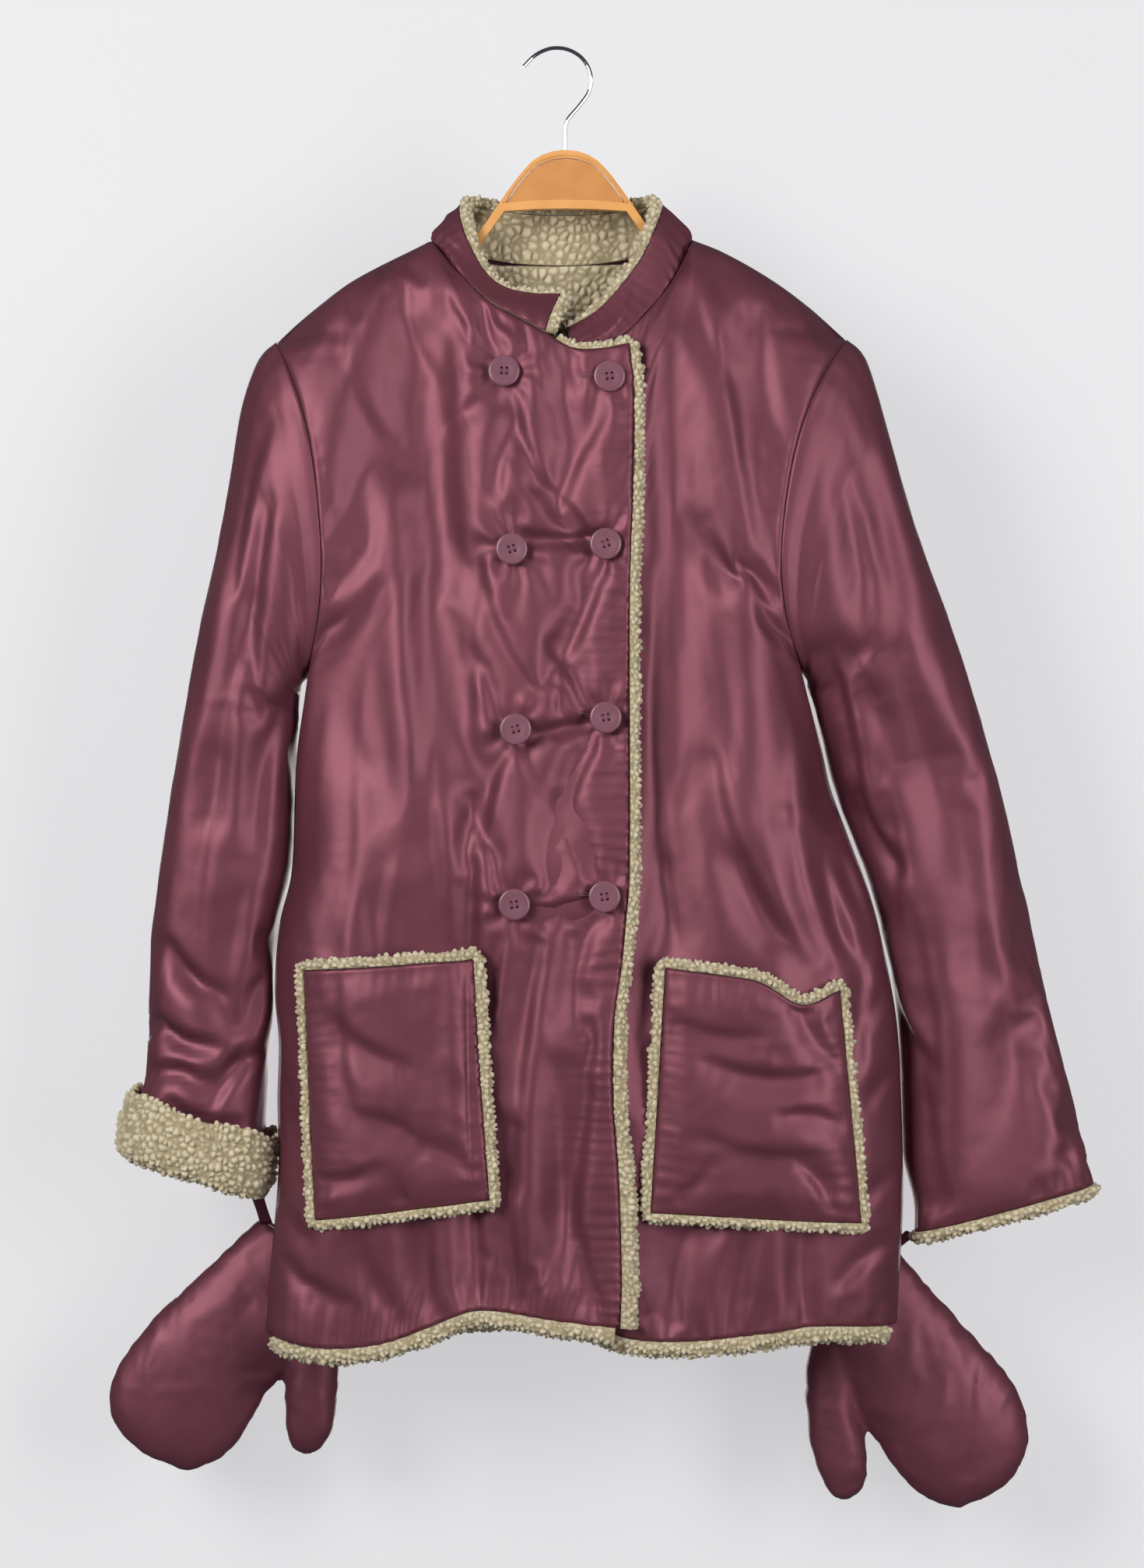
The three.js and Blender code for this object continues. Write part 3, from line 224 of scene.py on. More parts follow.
def make_nylon(name, base, worn):
    material, tree = new_material(name)
    place = node(tree, "ShaderNodeTexCoord").outputs["Object"]
    cloud = node(tree, "ShaderNodeTexNoise", values={"Scale": 1 / (NYLON_CLOUD_MM * MM), "Detail": 3.0},
                 links={"Vector": place})
    tint = node(tree, "ShaderNodeValToRGB", links={"Fac": cloud.outputs["Fac"]})
    tint.color_ramp.elements[0].position, tint.color_ramp.elements[0].color = 0.35, linear(base)
    tint.color_ramp.elements[1].position, tint.color_ramp.elements[1].color = 0.7, linear(worn)
    soft = node(tree, "ShaderNodeTexNoise", values={"Scale": 1 / (NYLON_SOFT_MM * MM), "Detail": 3.0},
                links={"Vector": place})
    weave = node(tree, "ShaderNodeTexWave", {"bands_direction": "DIAGONAL"},
                 {"Scale": WAVE_SCALE / (NYLON_WEAVE_MM * MM), "Distortion": 0.4}, {"Vector": place})
    ripple = node(tree, "ShaderNodeBump", values={"Strength": 0.3, "Distance": 1.2 * MM},
                  links={"Height": soft.outputs["Fac"]})
    fine = node(tree, "ShaderNodeBump", values={"Strength": 0.1, "Distance": 0.05 * MM},
                links={"Height": weave.outputs["Fac"], "Normal": ripple.outputs["Normal"]})
    gloss = node(tree, "ShaderNodeMapRange", values={"To Min": 0.44, "To Max": 0.54},
                 links={"Value": cloud.outputs["Fac"]})
    shader = node(tree, "ShaderNodeBsdfPrincipled",
                  values={"Metallic": 0.5, "IOR": 1.53, "Specular IOR Level": 0.3},
                  links={"Base Color": tint.outputs["Color"], "Normal": fine.outputs["Normal"],
                         "Roughness": gloss.outputs["Result"]})
    finish_material(tree, shader)
    return material


nylon = make_nylon("nylon_taffeta_calendered", "#6d3b49", "#76414f")
print("nylon:", nylon.name)

# %% [markdown]
# ## Sherpa pile
# The lining is a knitted polyester pile whose fibres are tumbled until they curl into little
# knots, about 5 mm across. They scatter light, so there is no gloss, only a pale fuzz and dark
# gaps between knots. The knots are real relief in the mesh where they show, and each point keeps
# how high it stands as a colour, so the material can paint shade into the gaps between knots,
# where little light reaches. The fibres are drawn at 0.9 mm because a real fibre, at 0.03 mm, is
# too fine to show.

# %% Pile material
FIBRE_MM = 0.9
KNOT_MM = 5.0


# The gap colour is painted shade for the gaps between knots, where little light reaches.
def make_pile(name, light, deep, gap):
    material, tree = new_material(name)
    place = node(tree, "ShaderNodeTexCoord").outputs["Object"]
    patch = node(tree, "ShaderNodeTexNoise", values={"Scale": 1 / (2.4 * KNOT_MM * MM), "Detail": 4.0},
                 links={"Vector": place})
    fibre = node(tree, "ShaderNodeTexNoise",
                 values={"Scale": 1 / (FIBRE_MM * MM), "Detail": 2.0, "Distortion": 2.0},
                 links={"Vector": place})
    tint = node(tree, "ShaderNodeValToRGB", links={"Fac": patch.outputs["Fac"]})
    tint.color_ramp.elements[0].position, tint.color_ramp.elements[0].color = 0.3, linear(deep)
    tint.color_ramp.elements[1].position, tint.color_ramp.elements[1].color = 0.7, linear(light)
    raised = node(tree, "ShaderNodeVertexColor", {"layer_name": "knot"})
    shade = node(tree, "ShaderNodeMix", {"data_type": "RGBA"},
                 links={"Factor": raised.outputs["Color"]})
    # Where the knot height is low, the pile takes the gap colour: painted shade between knots.
    shade.inputs["A"].default_value = linear(gap)
    tree.links.new(tint.outputs["Color"], shade.inputs["B"])
    fuzz = node(tree, "ShaderNodeBump", values={"Strength": 0.8, "Distance": 0.5 * MM},
                links={"Height": fibre.outputs["Fac"]})
    shader = node(tree, "ShaderNodeBsdfPrincipled",
                  values={"Roughness": 0.95, "Specular IOR Level": 0.15, "Sheen Weight": 0.5,
                          "Sheen Roughness": 0.5, "Sheen Tint": linear("#fff6e2")},
                  links={"Base Color": shade.outputs["Result"], "Normal": fuzz.outputs["Normal"]})
    finish_material(tree, shader)
    return material


# The third colour, #9b8e70, is the painted shade in the gaps between knots.
pile = make_pile("sherpa_pile_tumbled", "#dfd3b8", "#c9bda1", "#9b8e70")
print("pile:", pile.name)

# %% [markdown]
# ## Moulded plastics and wire
# The buttons are moulded urea, dyed through to the shell's colour and tumbled to a soft gloss. The
# hanger is moulded ABS with a fine grained surface. The hook is drawn steel wire, chromium plated,
# so it shows the room as thin bright and dark lines.

# %% Hard materials
FLOW_MM = 18.0  # the colour of a moulding drifts a little over this length
DRAW_MARK_MM = 2.0


def make_moulded(name, base, shade, roughness, grain_mm, depth_mm):
    material, tree = new_material(name)
    place = node(tree, "ShaderNodeTexCoord").outputs["Object"]
    cloud = node(tree, "ShaderNodeTexNoise", values={"Scale": 1 / (FLOW_MM * MM), "Detail": 2.0},
                 links={"Vector": place})
    tint = node(tree, "ShaderNodeValToRGB", links={"Fac": cloud.outputs["Fac"]})
    tint.color_ramp.elements[0].position, tint.color_ramp.elements[0].color = 0.3, linear(shade)
    tint.color_ramp.elements[1].position, tint.color_ramp.elements[1].color = 0.7, linear(base)
    grain = node(tree, "ShaderNodeTexNoise", values={"Scale": 1 / (grain_mm * MM)},
                 links={"Vector": place})
    bump = node(tree, "ShaderNodeBump", values={"Strength": 0.3, "Distance": depth_mm * MM},
                links={"Height": grain.outputs["Fac"]})
    shader = node(tree, "ShaderNodeBsdfPrincipled", values={"Roughness": roughness, "IOR": 1.55},
                  links={"Base Color": tint.outputs["Color"], "Normal": bump.outputs["Normal"]})
    finish_material(tree, shader)
    return material


def make_chrome(name):
    material, tree = new_material(name)
    place = node(tree, "ShaderNodeTexCoord").outputs["Object"]
    drawn = node(tree, "ShaderNodeTexNoise", values={"Scale": 1 / (DRAW_MARK_MM * MM)},
                 links={"Vector": place})
    rough = node(tree, "ShaderNodeMapRange", values={"To Min": 0.08, "To Max": 0.2},
                 links={"Value": drawn.outputs["Fac"]})
    shader = node(tree, "ShaderNodeBsdfPrincipled",
                  values={"Base Color": linear("#8f9297"), "Metallic": 1.0},
                  links={"Roughness": rough.outputs["Result"]})
    finish_material(tree, shader)
    return material


urea = make_moulded("moulded_urea_buttons", "#7b505f", "#734857", 0.3, 0.8, 0.015)
abs_frame = make_moulded("moulded_abs_rim", "#e2a562", "#d99b58", 0.38, 0.6, 0.03)
abs_panel = make_moulded("moulded_abs_panel", "#cc8d50", "#c38346", 0.42, 0.6, 0.03)
thread = make_moulded("spun_polyester_thread", "#7c4c5c", "#6c404f", 0.8, 0.4, 0.08)
steel = make_chrome("chromed_steel_wire")
print("hard finishes:", urea.name, abs_frame.name, abs_panel.name, thread.name, steel.name)

# %% [markdown]
# ## Turning points into pieces
# Points are worked out in millimetres as tables of numbers, which is quick, and made into a mesh
# in one step. Each piece rides on the root body and hides the solid it stands for, where there is
# one. Each call also names the finish slot of the record that the piece belongs to, but the slot
# is not used.

# %% Mesh helpers
# Where a pile has no knots of its own, its colour is mixed part way toward the painted gap shade.
PLAIN_PILE_HEIGHT = 0.7  # where the pile has no knots of its own, it shows its mid colour


def make_piece(name, points, faces, materials, slot, replaces=(), which=None, fill=None, knot=None):
    mesh = bpy.data.meshes.new(name)
    mesh.from_pydata((np.asarray(points, float) * MM).tolist(), [], [list(map(int, f)) for f in faces])
    for material in materials:
        mesh.materials.append(material)
    if which is not None:
        mesh.polygons.foreach_set("material_index", np.asarray(which, dtype=np.int32))
    mesh.polygons.foreach_set("use_smooth", np.ones(len(mesh.polygons), dtype=bool))
    mesh.update()
    # Each point keeps its knot height as a colour, from which the pile material paints shade into the
    # gaps between knots.
    if pile in materials:
        height = np.full(len(points), PLAIN_PILE_HEIGHT)
        if knot is not None:
            height[-knot.size:] = knot.ravel()
        colours = np.repeat(height, 4).reshape(-1, 4)
        colours[:, 3] = 1
        layer = mesh.color_attributes.new("knot", "FLOAT_COLOR", "POINT")
        layer.data.foreach_set("color", colours.ravel())
    piece = bpy.data.objects.new(name, mesh)
    bpy.context.scene.collection.objects.link(piece)
    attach(piece, "root")
    if replaces:
        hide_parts(*replaces)
    return piece


def grid_faces(rows, columns, start=0, around=False):
    across = columns if around else columns - 1
    r, c = np.meshgrid(np.arange(rows - 1), np.arange(across), indexing="ij")
    a, b = start + r * columns + c, start + r * columns + (c + 1) % columns
    return np.stack([a, b, b + columns, a + columns], -1).reshape(-1, 4)


def wall_mesh(outer, inner, around=False):
    rows, columns = outer.shape[:2]
    count = rows * columns
    points = np.concatenate([outer.reshape(-1, 3), inner.reshape(-1, 3)])
    out = grid_faces(rows, columns, 0, around)
    inn = grid_faces(rows, columns, count, around)[:, ::-1]
    index = np.arange(count).reshape(rows, columns)
    loops = [index[0], index[-1][::-1]]
    if not around:
        loops += [index[::-1, 0], index[:, -1]]
    rims = []
    for loop in loops:
        a, b = (loop, np.roll(loop, -1)) if around else (loop[:-1], loop[1:])
        rims.append(np.stack([b, a, a + count, b + count], -1))
    rim = np.concatenate(rims)
    faces = np.concatenate([out, inn, rim])
    which = np.concatenate([np.zeros(len(out)), np.ones(len(inn)), np.zeros(len(rim))])
    sides = points[faces[: len(out)]]
    normal = np.cross(sides[:, 2] - sides[:, 0], sides[:, 3] - sides[:, 1])
    away = outer.reshape(-1, 3) - inner.reshape(-1, 3)
    if np.sum(normal * away[faces[: len(out), 0]]) < 0:
        faces = faces[:, ::-1]
    return points, faces, which


print("a 3 by 4 grid has", len(grid_faces(3, 4)), "faces")

# %% [markdown]
# ## The measured outlines
# These are the same outlines that the solids were made from, so the dressed jacket lies exactly
# where they do. X runs to the viewer's right and Z up, and right and left are the wearer's.

# %% Outlines of the body
SEAM_GAP, ARMHOLE_GAP, WALL = 0.3, 0.6, 8.0
SHELL, LINING = 4.5, 3.5
EDGE_ROUND = {"front": 95.0, "back": 80.0}
TOP_ROUND = 70.0
NECK_RIGHT_X, NECK_LEFT_X = -98.0, 106.0
NECK_AXIS = np.array([4.0, -6.0, 0.0])
UNDERLAP_X = -48.0
SIDE_RIGHT = table(["z", "x"], [
    [-1004, -228], [-959, -225], [-918, -221], [-869, -218], [-824, -219], [-779, -218],
    [-735, -221], [-684, -217], [-646, -208], [-556, -204], [-492, -195]])
SIDE_LEFT = table(["z", "x"], [
    [-998, 267], [-945, 270], [-903, 272], [-837, 271], [-762, 267], [-693, 254],
    [-660, 245], [-620, 230], [-579, 215], [-548, 208], [-488, 192]])
SHOULDER_RIGHT = table(["x", "z"], [
    [-219, -230], [-203, -215], [-185, -200], [-164, -184], [-139, -170], [-98, -150]])
SHOULDER_LEFT = table(["x", "z"], [
    [106, -149], [131, -159], [168, -180], [198, -202], [227, -228]])
NECK_FRONT_RIGHT = table(["x", "z", "depth"], [
    [-98, -150, 0], [-75, -180, 22], [-52, -203, 34], [-28, -217, 40], [-9, -228, 44],
    [12, -240, 46], [34, -241, 48], [56, -237, 48]])
NECK_FRONT_LEFT = table(["x", "z", "depth"], [
    [106, -149, 0], [95, -176, 20], [82, -196, 30], [64, -217, 38], [48, -231, 43],
    [10, -243, 46], [-48, -245, 47]])
NECK_BACK = table(["x", "z", "depth"], [
    [-98, -150, 0], [-70, -158, 22], [-35, -162, 32], [0, -164, 35], [40, -162, 33],
    [75, -157, 23], [106, -149, 0]])
LAP_EDGE = table(["z", "x"], [
    [-994, 49], [-952, 50], [-872, 47], [-819, 43], [-758, 44], [-715, 50], [-683, 53],
    [-647, 56], [-440, 56], [-357, 58], [-270, 59], [-237, 56]])
HEMS = {
    "front_right": table(["x", "z"], [
        [-228, -1004], [-205, -1009], [-170, -1012], [-129, -1006], [-100, -995], [-67, -981],
        [-45, -981], [-2, -988], [49, -994]]),
    "front_left": table(["x", "z"], [
        [-48, -985], [15, -990], [58, -1004], [111, -1005], [171, -998], [200, -995], [267, -998]]),
    "back": table(["x", "z"], [
        [-228, -1004], [-150, -1000], [-60, -995], [40, -993], [150, -996], [267, -998]]),
}
BODY_DEPTH = table(["z", "front", "back"], [
    [-1010, 50, 24], [-800, 57, 30], [-600, 60, 37], [-400, 56, 40], [-250, 48, 36], [-150, 40, 30]])
TOP_SPAN = {"front_right": (-219, 56), "front_left": (227, -48), "back": (-219, 227)}

side_curve = {
    "right": curve(SIDE_RIGHT["z"], SIDE_RIGHT["x"]),
    "left": curve(SIDE_LEFT["z"], SIDE_LEFT["x"]),
}
shoulder_right = curve(SHOULDER_RIGHT["x"], SHOULDER_RIGHT["z"])
shoulder_left = curve(SHOULDER_LEFT["x"], SHOULDER_LEFT["z"])
lap_edge = curve(LAP_EDGE["z"], LAP_EDGE["x"])
necks = {
    "front_right": NECK_FRONT_RIGHT, "front_left": NECK_FRONT_LEFT, "back": NECK_BACK,
}
neck_z = {panel: curve(rows["x"], rows["z"]) for panel, rows in necks.items()}
neck_depth = {panel: curve(rows["x"], rows["depth"]) for panel, rows in necks.items()}
hem_z = {panel: curve(rows["x"], rows["z"]) for panel, rows in HEMS.items()}
depth_of = {face: curve(BODY_DEPTH["z"], BODY_DEPTH[face]) for face in ("front", "back")}
print("body runs from", hem_z["back"](0.0), "to", neck_z["back"](0.0), "mm")

# %% [markdown]
# ## Sleeves as rows of rings
# A sleeve is measured as an outer and an inner edge at several places down the arm, with how deep
# it is to the front and the back. A fuller curve than an ellipse suits padded cloth. The first
# ring is also the armhole, so the body meets the sleeve along one line, as a sewn seam does.

# %% Sleeve rings
SLEEVE_COLUMNS = ["out_x", "out_z", "in_x", "in_z", "bow", "front", "back", "mid_y"]
SLEEVES = {
    "right": table(SLEEVE_COLUMNS, [
        [-219, -230, -195, -492, 24, 56, 44, 0], [-231, -246, -196.5, -495, 18, 55, 44, 0],
        [-243, -280, -198, -498, 13, 54, 44, 0], [-252, -325, -199.5, -502, 8, 53, 44, 1],
        [-262, -375, -201.5, -506, 4, 52, 44, 2], [-273, -430, -203.5, -512, 1, 51, 44, 3],
        [-287, -500, -207, -530, 0, 49, 43, 4], [-301, -575, -210, -580, 0, 46, 42, 6],
        [-312, -645, -213, -638, 0, 44, 40, 8], [-318, -700, -222.5, -690, 0, 42, 39, 9],
        [-322, -750, -225.5, -742, 0, 41, 38, 10], [-325, -800, -226, -798, 0, 40, 37, 11],
        [-331, -832, -229, -846, 0, 41, 38, 12], [-337, -860, -231, -893, 0, 42, 38, 12]]),
    "left": table(SLEEVE_COLUMNS, [
        [227, -228, 192, -488, -33, 56, 44, 0], [239, -244, 193.5, -491, -26, 55, 44, 0],
        [250, -277, 195, -495, -18, 54, 44, 0], [263, -320, 197, -499, -11, 53, 44, 1],
        [279, -372, 199.5, -504, -5, 52, 44, 2], [296, -423, 202.5, -511, -1, 51, 44, 3],
        [318, -488, 209, -532, 0, 49, 43, 4], [337, -550, 217.5, -576, 0, 47, 42, 6],
        [351, -600, 233, -620, 0, 45, 41, 8], [362, -650, 250, -664, 0, 43, 40, 9],
        [373, -702, 263.5, -716, 0, 41, 38, 10], [388, -756, 272, -774, 0, 39, 36, 10],
        [402, -808, 276, -834, 0, 37, 34, 10], [414, -852, 278, -886, 0, 35, 32, 10],
        [424, -889, 279, -928, 0, 34, 30, 10]]),
}
SLEEVE_ROUND = 0.82
ARM_SIDES = 88


def sleeve_rings(rows, inset=0.0, sides=ARM_SIDES):
    angle = np.arange(sides) * 2 * np.pi / sides
    cos = np.sign(np.cos(angle)) * np.abs(np.cos(angle)) ** SLEEVE_ROUND
    sin = np.sign(np.sin(angle)) * np.abs(np.sin(angle)) ** SLEEVE_ROUND
    col = {name: np.atleast_1d(value)[:, None] for name, value in rows.items()}
    half_x, half_z = (col["out_x"] - col["in_x"]) / 2, (col["out_z"] - col["in_z"]) / 2
    shrink = 1 - inset / np.hypot(half_x, half_z)
    deep = np.where(sin < 0, col["front"], col["back"]) - inset
    x = (col["out_x"] + col["in_x"]) / 2 + half_x * cos * shrink + col["bow"] * np.sin(angle) ** 2
    z = (col["out_z"] + col["in_z"]) / 2 + half_z * cos * shrink
    return np.stack([x, col["mid_y"] + deep * sin, z], -1)


def armhole(side, face, inset=0.0):
    first = {name: value[:1] for name, value in SLEEVES[side].items()}
    ring = sleeve_rings(first, inset)[0]
    half = ARM_SIDES // 2
    order = half + np.arange(half + 1) if face == "front" else half - np.arange(half + 1)
    return ring[order % ARM_SIDES]


arm_x, arm_depth = {}, {}
for side in ("right", "left"):
    front, back = armhole(side, "front"), armhole(side, "back")
    arm_x[side] = curve(front[:, 2], front[:, 0])
    arm_depth[side] = {"front": curve(front[:, 2], -front[:, 1]), "back": curve(back[:, 2], back[:, 1])}
UNDERARM_Z = {"right": -492.0, "left": -488.0}
print("armhole is", round(float(np.ptp(front[:, 2]))), "mm high")

# %% [markdown]
# ## How deep the cloth lies
# A hanging jacket is a shallow puffed form. Its depth at any place seen from the front is mixed
# from the depth at mid body, at the side seams, at the shoulder and along the armhole.

# %% Depth of the body
LAP = {"lift": 11.5, "from": -118.0, "to": -60.0}
PANELS = {
    "front_right": {"face": "front", "sides": ("right",)},
    "front_left": {"face": "front", "sides": ("left",)},
    "back": {"face": "back", "sides": ("right", "left")},
}


def side_x(side, z):
    return np.where(z > UNDERARM_Z[side], arm_x[side](z), side_curve[side](z))


def top_z(panel, x):
    z = np.where(x < NECK_RIGHT_X, shoulder_right(x), neck_z[panel](x))
    return np.where(x > NECK_LEFT_X, shoulder_left(x), z)


def body_depth(panel, x, z):
    face, sides = PANELS[panel]["face"], PANELS[panel]["sides"]
    below = top_z(panel, x) - z
    neck = np.where((x < NECK_RIGHT_X) | (x > NECK_LEFT_X), 0.0, neck_depth[panel](x))
    depth = mix(neck, depth_of[face](z), quarter(below / TOP_ROUND))
    inside = np.ones_like(depth)
    for side in sides:
        share = quarter(np.abs(x - side_x(side, z)) / EDGE_ROUND[face])
        inside = np.minimum(inside, share)
        arm = np.where(z > UNDERARM_Z[side], arm_depth[side][face](z), 0.0)
        depth = mix(arm, depth, share)
    if panel == "front_right":
        depth = depth + LAP["lift"] * smooth_step((x - LAP["from"]) / (LAP["to"] - LAP["from"]))
    return depth + SEAM_GAP / 2, inside * quarter(below / TOP_ROUND)


chest_depth, _ = body_depth("front_right", np.array(0.0), np.array(-450.0))
print("depth at mid chest:", round(float(chest_depth), 1), "mm")

# %% [markdown]
# ## Folds placed one by one
# Random noise never looks like a hanging garment, because real folds come from what pulls on the
# cloth: the shoulders, the buttons and the wadding. Each row is one soft trough (deep above zero)
# or ridge (below zero) along a slightly bowed line, sharper on one side than on the other.

# %% Folds of the body
# Each row: from x, from z, to x, to z, bow, width on the sharp side and on the soft side, depth.
FOLDS_LAP = [
    [-66, -560, -62, -960, 3, 12, 16, 7.5],
    [-10, -420, 20, -480, 2, 12, 16, 4],
    [-4, -720, 8, -900, 4, 14, 18, 4],
]
FOLDS = {
    "front_right": FOLDS_LAP + [
        [-65, -590, -62, -975, 3, 6, 12, 3.4],
        [-60, -400, -66, -540, 3, 6, 14, 1.8],
        [-150, -330, -120, -620, 8, 18, 26, 4],
        [-92, -240, -72, -560, 4, 18, 34, 4.6],
        [-118, -330, -112, -640, 4, 16, 26, -3.4],
        [-84, -204, -50, -248, 3, 4, 9, 2.2],
        [-60, -202, -46, -244, 2, 4, 8, 1.8],
        [-34, -280, -12, -345, 3, 5, 14, 3.0],
        [-12, -345, 34, -400, -4, 5, 15, 2.6],
        [-34, -300, -46, -350, 2, 6, 12, 2.0],
        [30, -300, 2, -360, 3, 6, 14, 2.2],
        [-28, -384, 36, -384, 4, 4, 10, 2.8],
        [-60, -410, -22, -500, 6, 6, 14, 2.4],
        [32, -415, -10, -500, -5, 6, 16, 2.8],
        [-26, -545, 34, -530, -5, 4, 11, 3.4],
        [-44, -530, -62, -478, 3, 5, 12, 2.4],
        [-40, -545, -58, -620, 3, 5, 12, 2.6],
        [26, -520, -2, -470, 3, 5, 12, 2.4],
        [28, -545, 4, -610, 4, 6, 14, 2.6],
        [-22, -672, 30, -664, 3, 4, 11, 3.2],
        [-42, -664, -62, -600, 4, 5, 13, 2.8],
        [-40, -684, -52, -760, 2, 5, 13, 2.6],
        [28, -652, 2, -592, 3, 5, 12, 2.4],
        [28, -676, 14, -760, 4, 6, 16, 2.8],
        [-16, -700, -32, -880, 5, 8, 20, 4.0],
        [24, -740, 2, -950, -6, 7, 20, 3.8],
        [-36, -840, -30, -970, 4, 6, 16, 3.0],
        [10, -880, 30, -975, 3, 6, 14, 2.0],
        [-168, -250, -120, -330, 6, 8, 18, 2.2],
        [-190, -300, -170, -380, 5, 6, 14, 2.0],
        [-176, -420, -150, -560, 6, 8, 20, 2.4],
        [-186, -520, -192, -640, 3, 7, 15, 2.4],
        [-160, -560, -168, -700, -5, 8, 18, 2.2],
        [-130, -640, -136, -704, 3, 6, 14, 1.8],
        [-98, -560, -86, -700, 3, 7, 16, 2.2],
        [-210, -700, -196, -790, 3, 5, 12, 2.6],
        [-214, -800, -198, -880, -3, 5, 12, 2.4],
        [-214, -900, -192, -925, 3, 5, 11, 2.6],
        [-214, -940, -170, -972, 5, 6, 14, 2.2],
        [-150, -930, -120, -990, 4, 6, 14, 2.0],
        [-100, -925, -92, -985, 3, 6, 14, 2.2],
        [-82, -300, -52, -268, 3, 5, 12, 1.8],
        [-120, -210, -96, -262, 3, 6, 14, 1.8],
    ],
    "front_left": FOLDS_LAP + [
        [90, -262, 98, -680, 4, 20, 26, 3.0],
        [122, -236, 150, -450, -5, 8, 30, -4.0],
        [150, -440, 206, -664, -6, 8, 26, -4.0],
        [172, -372, 184, -470, -4, 7, 14, 2.6],
        [196, -600, 222, -700, 3, 10, 16, 5],
        [140, -640, 190, -720, 5, 12, 18, 4],
        [74, -420, 80, -640, 4, 8, 18, 2.6],
        [118, -380, 132, -560, -5, 10, 22, 2.2],
        [176, -330, 182, -450, 4, 7, 15, 2.0],
        [190, -480, 176, -600, 5, 7, 16, 2.4],
        [120, -560, 168, -690, 8, 7, 18, 3.0],
        [176, -600, 205, -712, 5, 6, 13, 3.0],
        [214, -600, 236, -668, 3, 5, 10, 3.0],
        [226, -640, 248, -700, 3, 5, 10, 2.8],
        [205, -640, 238, -730, 4, 5, 11, 2.6],
        [240, -700, 232, -790, 3, 5, 12, 2.8],
        [262, -730, 240, -760, 2, 4, 10, 2.4],
        [262, -800, 240, -822, 2, 4, 10, 2.4],
        [264, -880, 242, -895, 2, 4, 10, 2.6],
        [262, -930, 222, -960, 4, 5, 12, 2.6],
        [190, -930, 196, -990, 3, 5, 14, 2.2],
        [150, -925, 140, -985, 3, 6, 14, 2.0],
        [96, -930, 92, -990, 3, 6, 14, 2.0],
        [108, -200, 132, -262, 4, 7, 16, 1.8],
        [160, -220, 168, -300, 4, 8, 18, 1.8],
        [84, -640, 92, -700, 3, 7, 15, 2.0],
    ],
    "back": [
        [-90, -380, -70, -760, 6, 22, 26, 4],
        [100, -360, 84, -800, -6, 22, 26, 4],
        [10, -520, 4, -900, 5, 24, 28, -3],
        [-150, -260, -120, -430, 8, 8, 22, 2.8],
        [156, -262, 132, -440, -8, 8, 22, 2.8],
        [-20, -200, -8, -420, 5, 10, 24, 2.0],
        [44, -210, 30, -380, -5, 10, 22, 1.8],
        [-176, -470, -120, -560, 6, 7, 18, 3.0],
        [176, -470, 128, -580, -7, 7, 18, 3.0],
        [-190, -600, -140, -660, 5, 6, 16, 2.6],
        [196, -600, 150, -680, -5, 6, 16, 2.6],
        [-130, -700, -110, -930, 6, 8, 20, 2.8],
        [40, -700, 52, -960, 5, 8, 22, 2.6],
        [-30, -760, -40, -970, 4, 8, 20, 2.4],
        [150, -720, 170, -940, 6, 8, 20, 2.8],
        [-200, -740, -180, -900, 4, 6, 16, 2.6],
        [220, -760, 236, -900, 3, 6, 16, 2.6],
        [-60, -560, 20, -600, 6, 7, 20, 2.0],
    ],
}


HAND_DEEPER = 1.9


def fold_relief(rows, x, z, deeper=HAND_DEEPER):
    relief = np.zeros_like(x)
    for x0, z0, x1, z1, bow, sharp, soft, deep in rows:
        run_x, run_z = x1 - x0, z1 - z0
        length = math.hypot(run_x, run_z)
        t = ((x - x0) * run_x + (z - z0) * run_z) / length ** 2
        held = np.clip(t, 0, 1)
        off = ((x - x0) * run_z - (z - z0) * run_x) / length - bow * 4 * held * (1 - held)
        past = (t - held) * length
        width = np.where(off > 0, soft, sharp)
        fade = 0.35 + 0.65 * np.sin(np.pi * np.clip(0.12 + 0.76 * held, 0, 1))
        end = 0.5 * (sharp + soft)
        relief += deeper * deep * fade * np.exp(-(off / width) ** 2 - (past / end) ** 2)
    return relief


print("folds:", {panel: len(rows) for panel, rows in FOLDS.items()})

# %% [markdown]
# ## Seams and buttons gather the cloth
# Thread draws padded cloth in, so short puckers stand at right angles to every seam and run out
# from every button. Both fade within a few centimetres.

# %% Puckers
BUTTONS = [(-40, -259, 0), (41, -263, 0), (-34, -396, 0), (38, -392, 14),
           (-31, -534, 0), (38, -525, 12), (-32, -668, 0), (37, -662, 10)]


def seam_puckers(along, away, reach=22.0, pitch=11.0, height=1.3):
    phase = along / pitch + 0.8 * lumps(along / 37.0, away / 60.0 + 5)
    strength = 0.55 + 0.45 * lumps(along / 23.0 + 11, along * 0 + 2.5)
    reach = reach * (1 + 0.7 * lumps(along / 14.0 + 31, along * 0 + 7.5))
    return height * strength * np.sin(2 * np.pi * phase) * np.exp(-np.abs(away) / reach)


def button_puckers(x, z):
    relief = np.zeros_like(x)
    for i, (bx, bz, _) in enumerate(BUTTONS):
        r, angle = np.hypot(x - bx, z - bz), np.arctan2(z - bz, x - bx)
        ring = np.exp(-((r - 19) / 13) ** 2)
        rays = np.cos(7 * angle + i * 1.7 + 0.9 * np.sin(2 * angle + i))
        relief += 2.6 * np.exp(-(r / 17) ** 2) + 1.1 * rays * ring
    return relief


dip = button_puckers(np.array([-34.0]), np.array([-396.0]))[0]
print("button dip:", round(float(dip), 2), "mm")
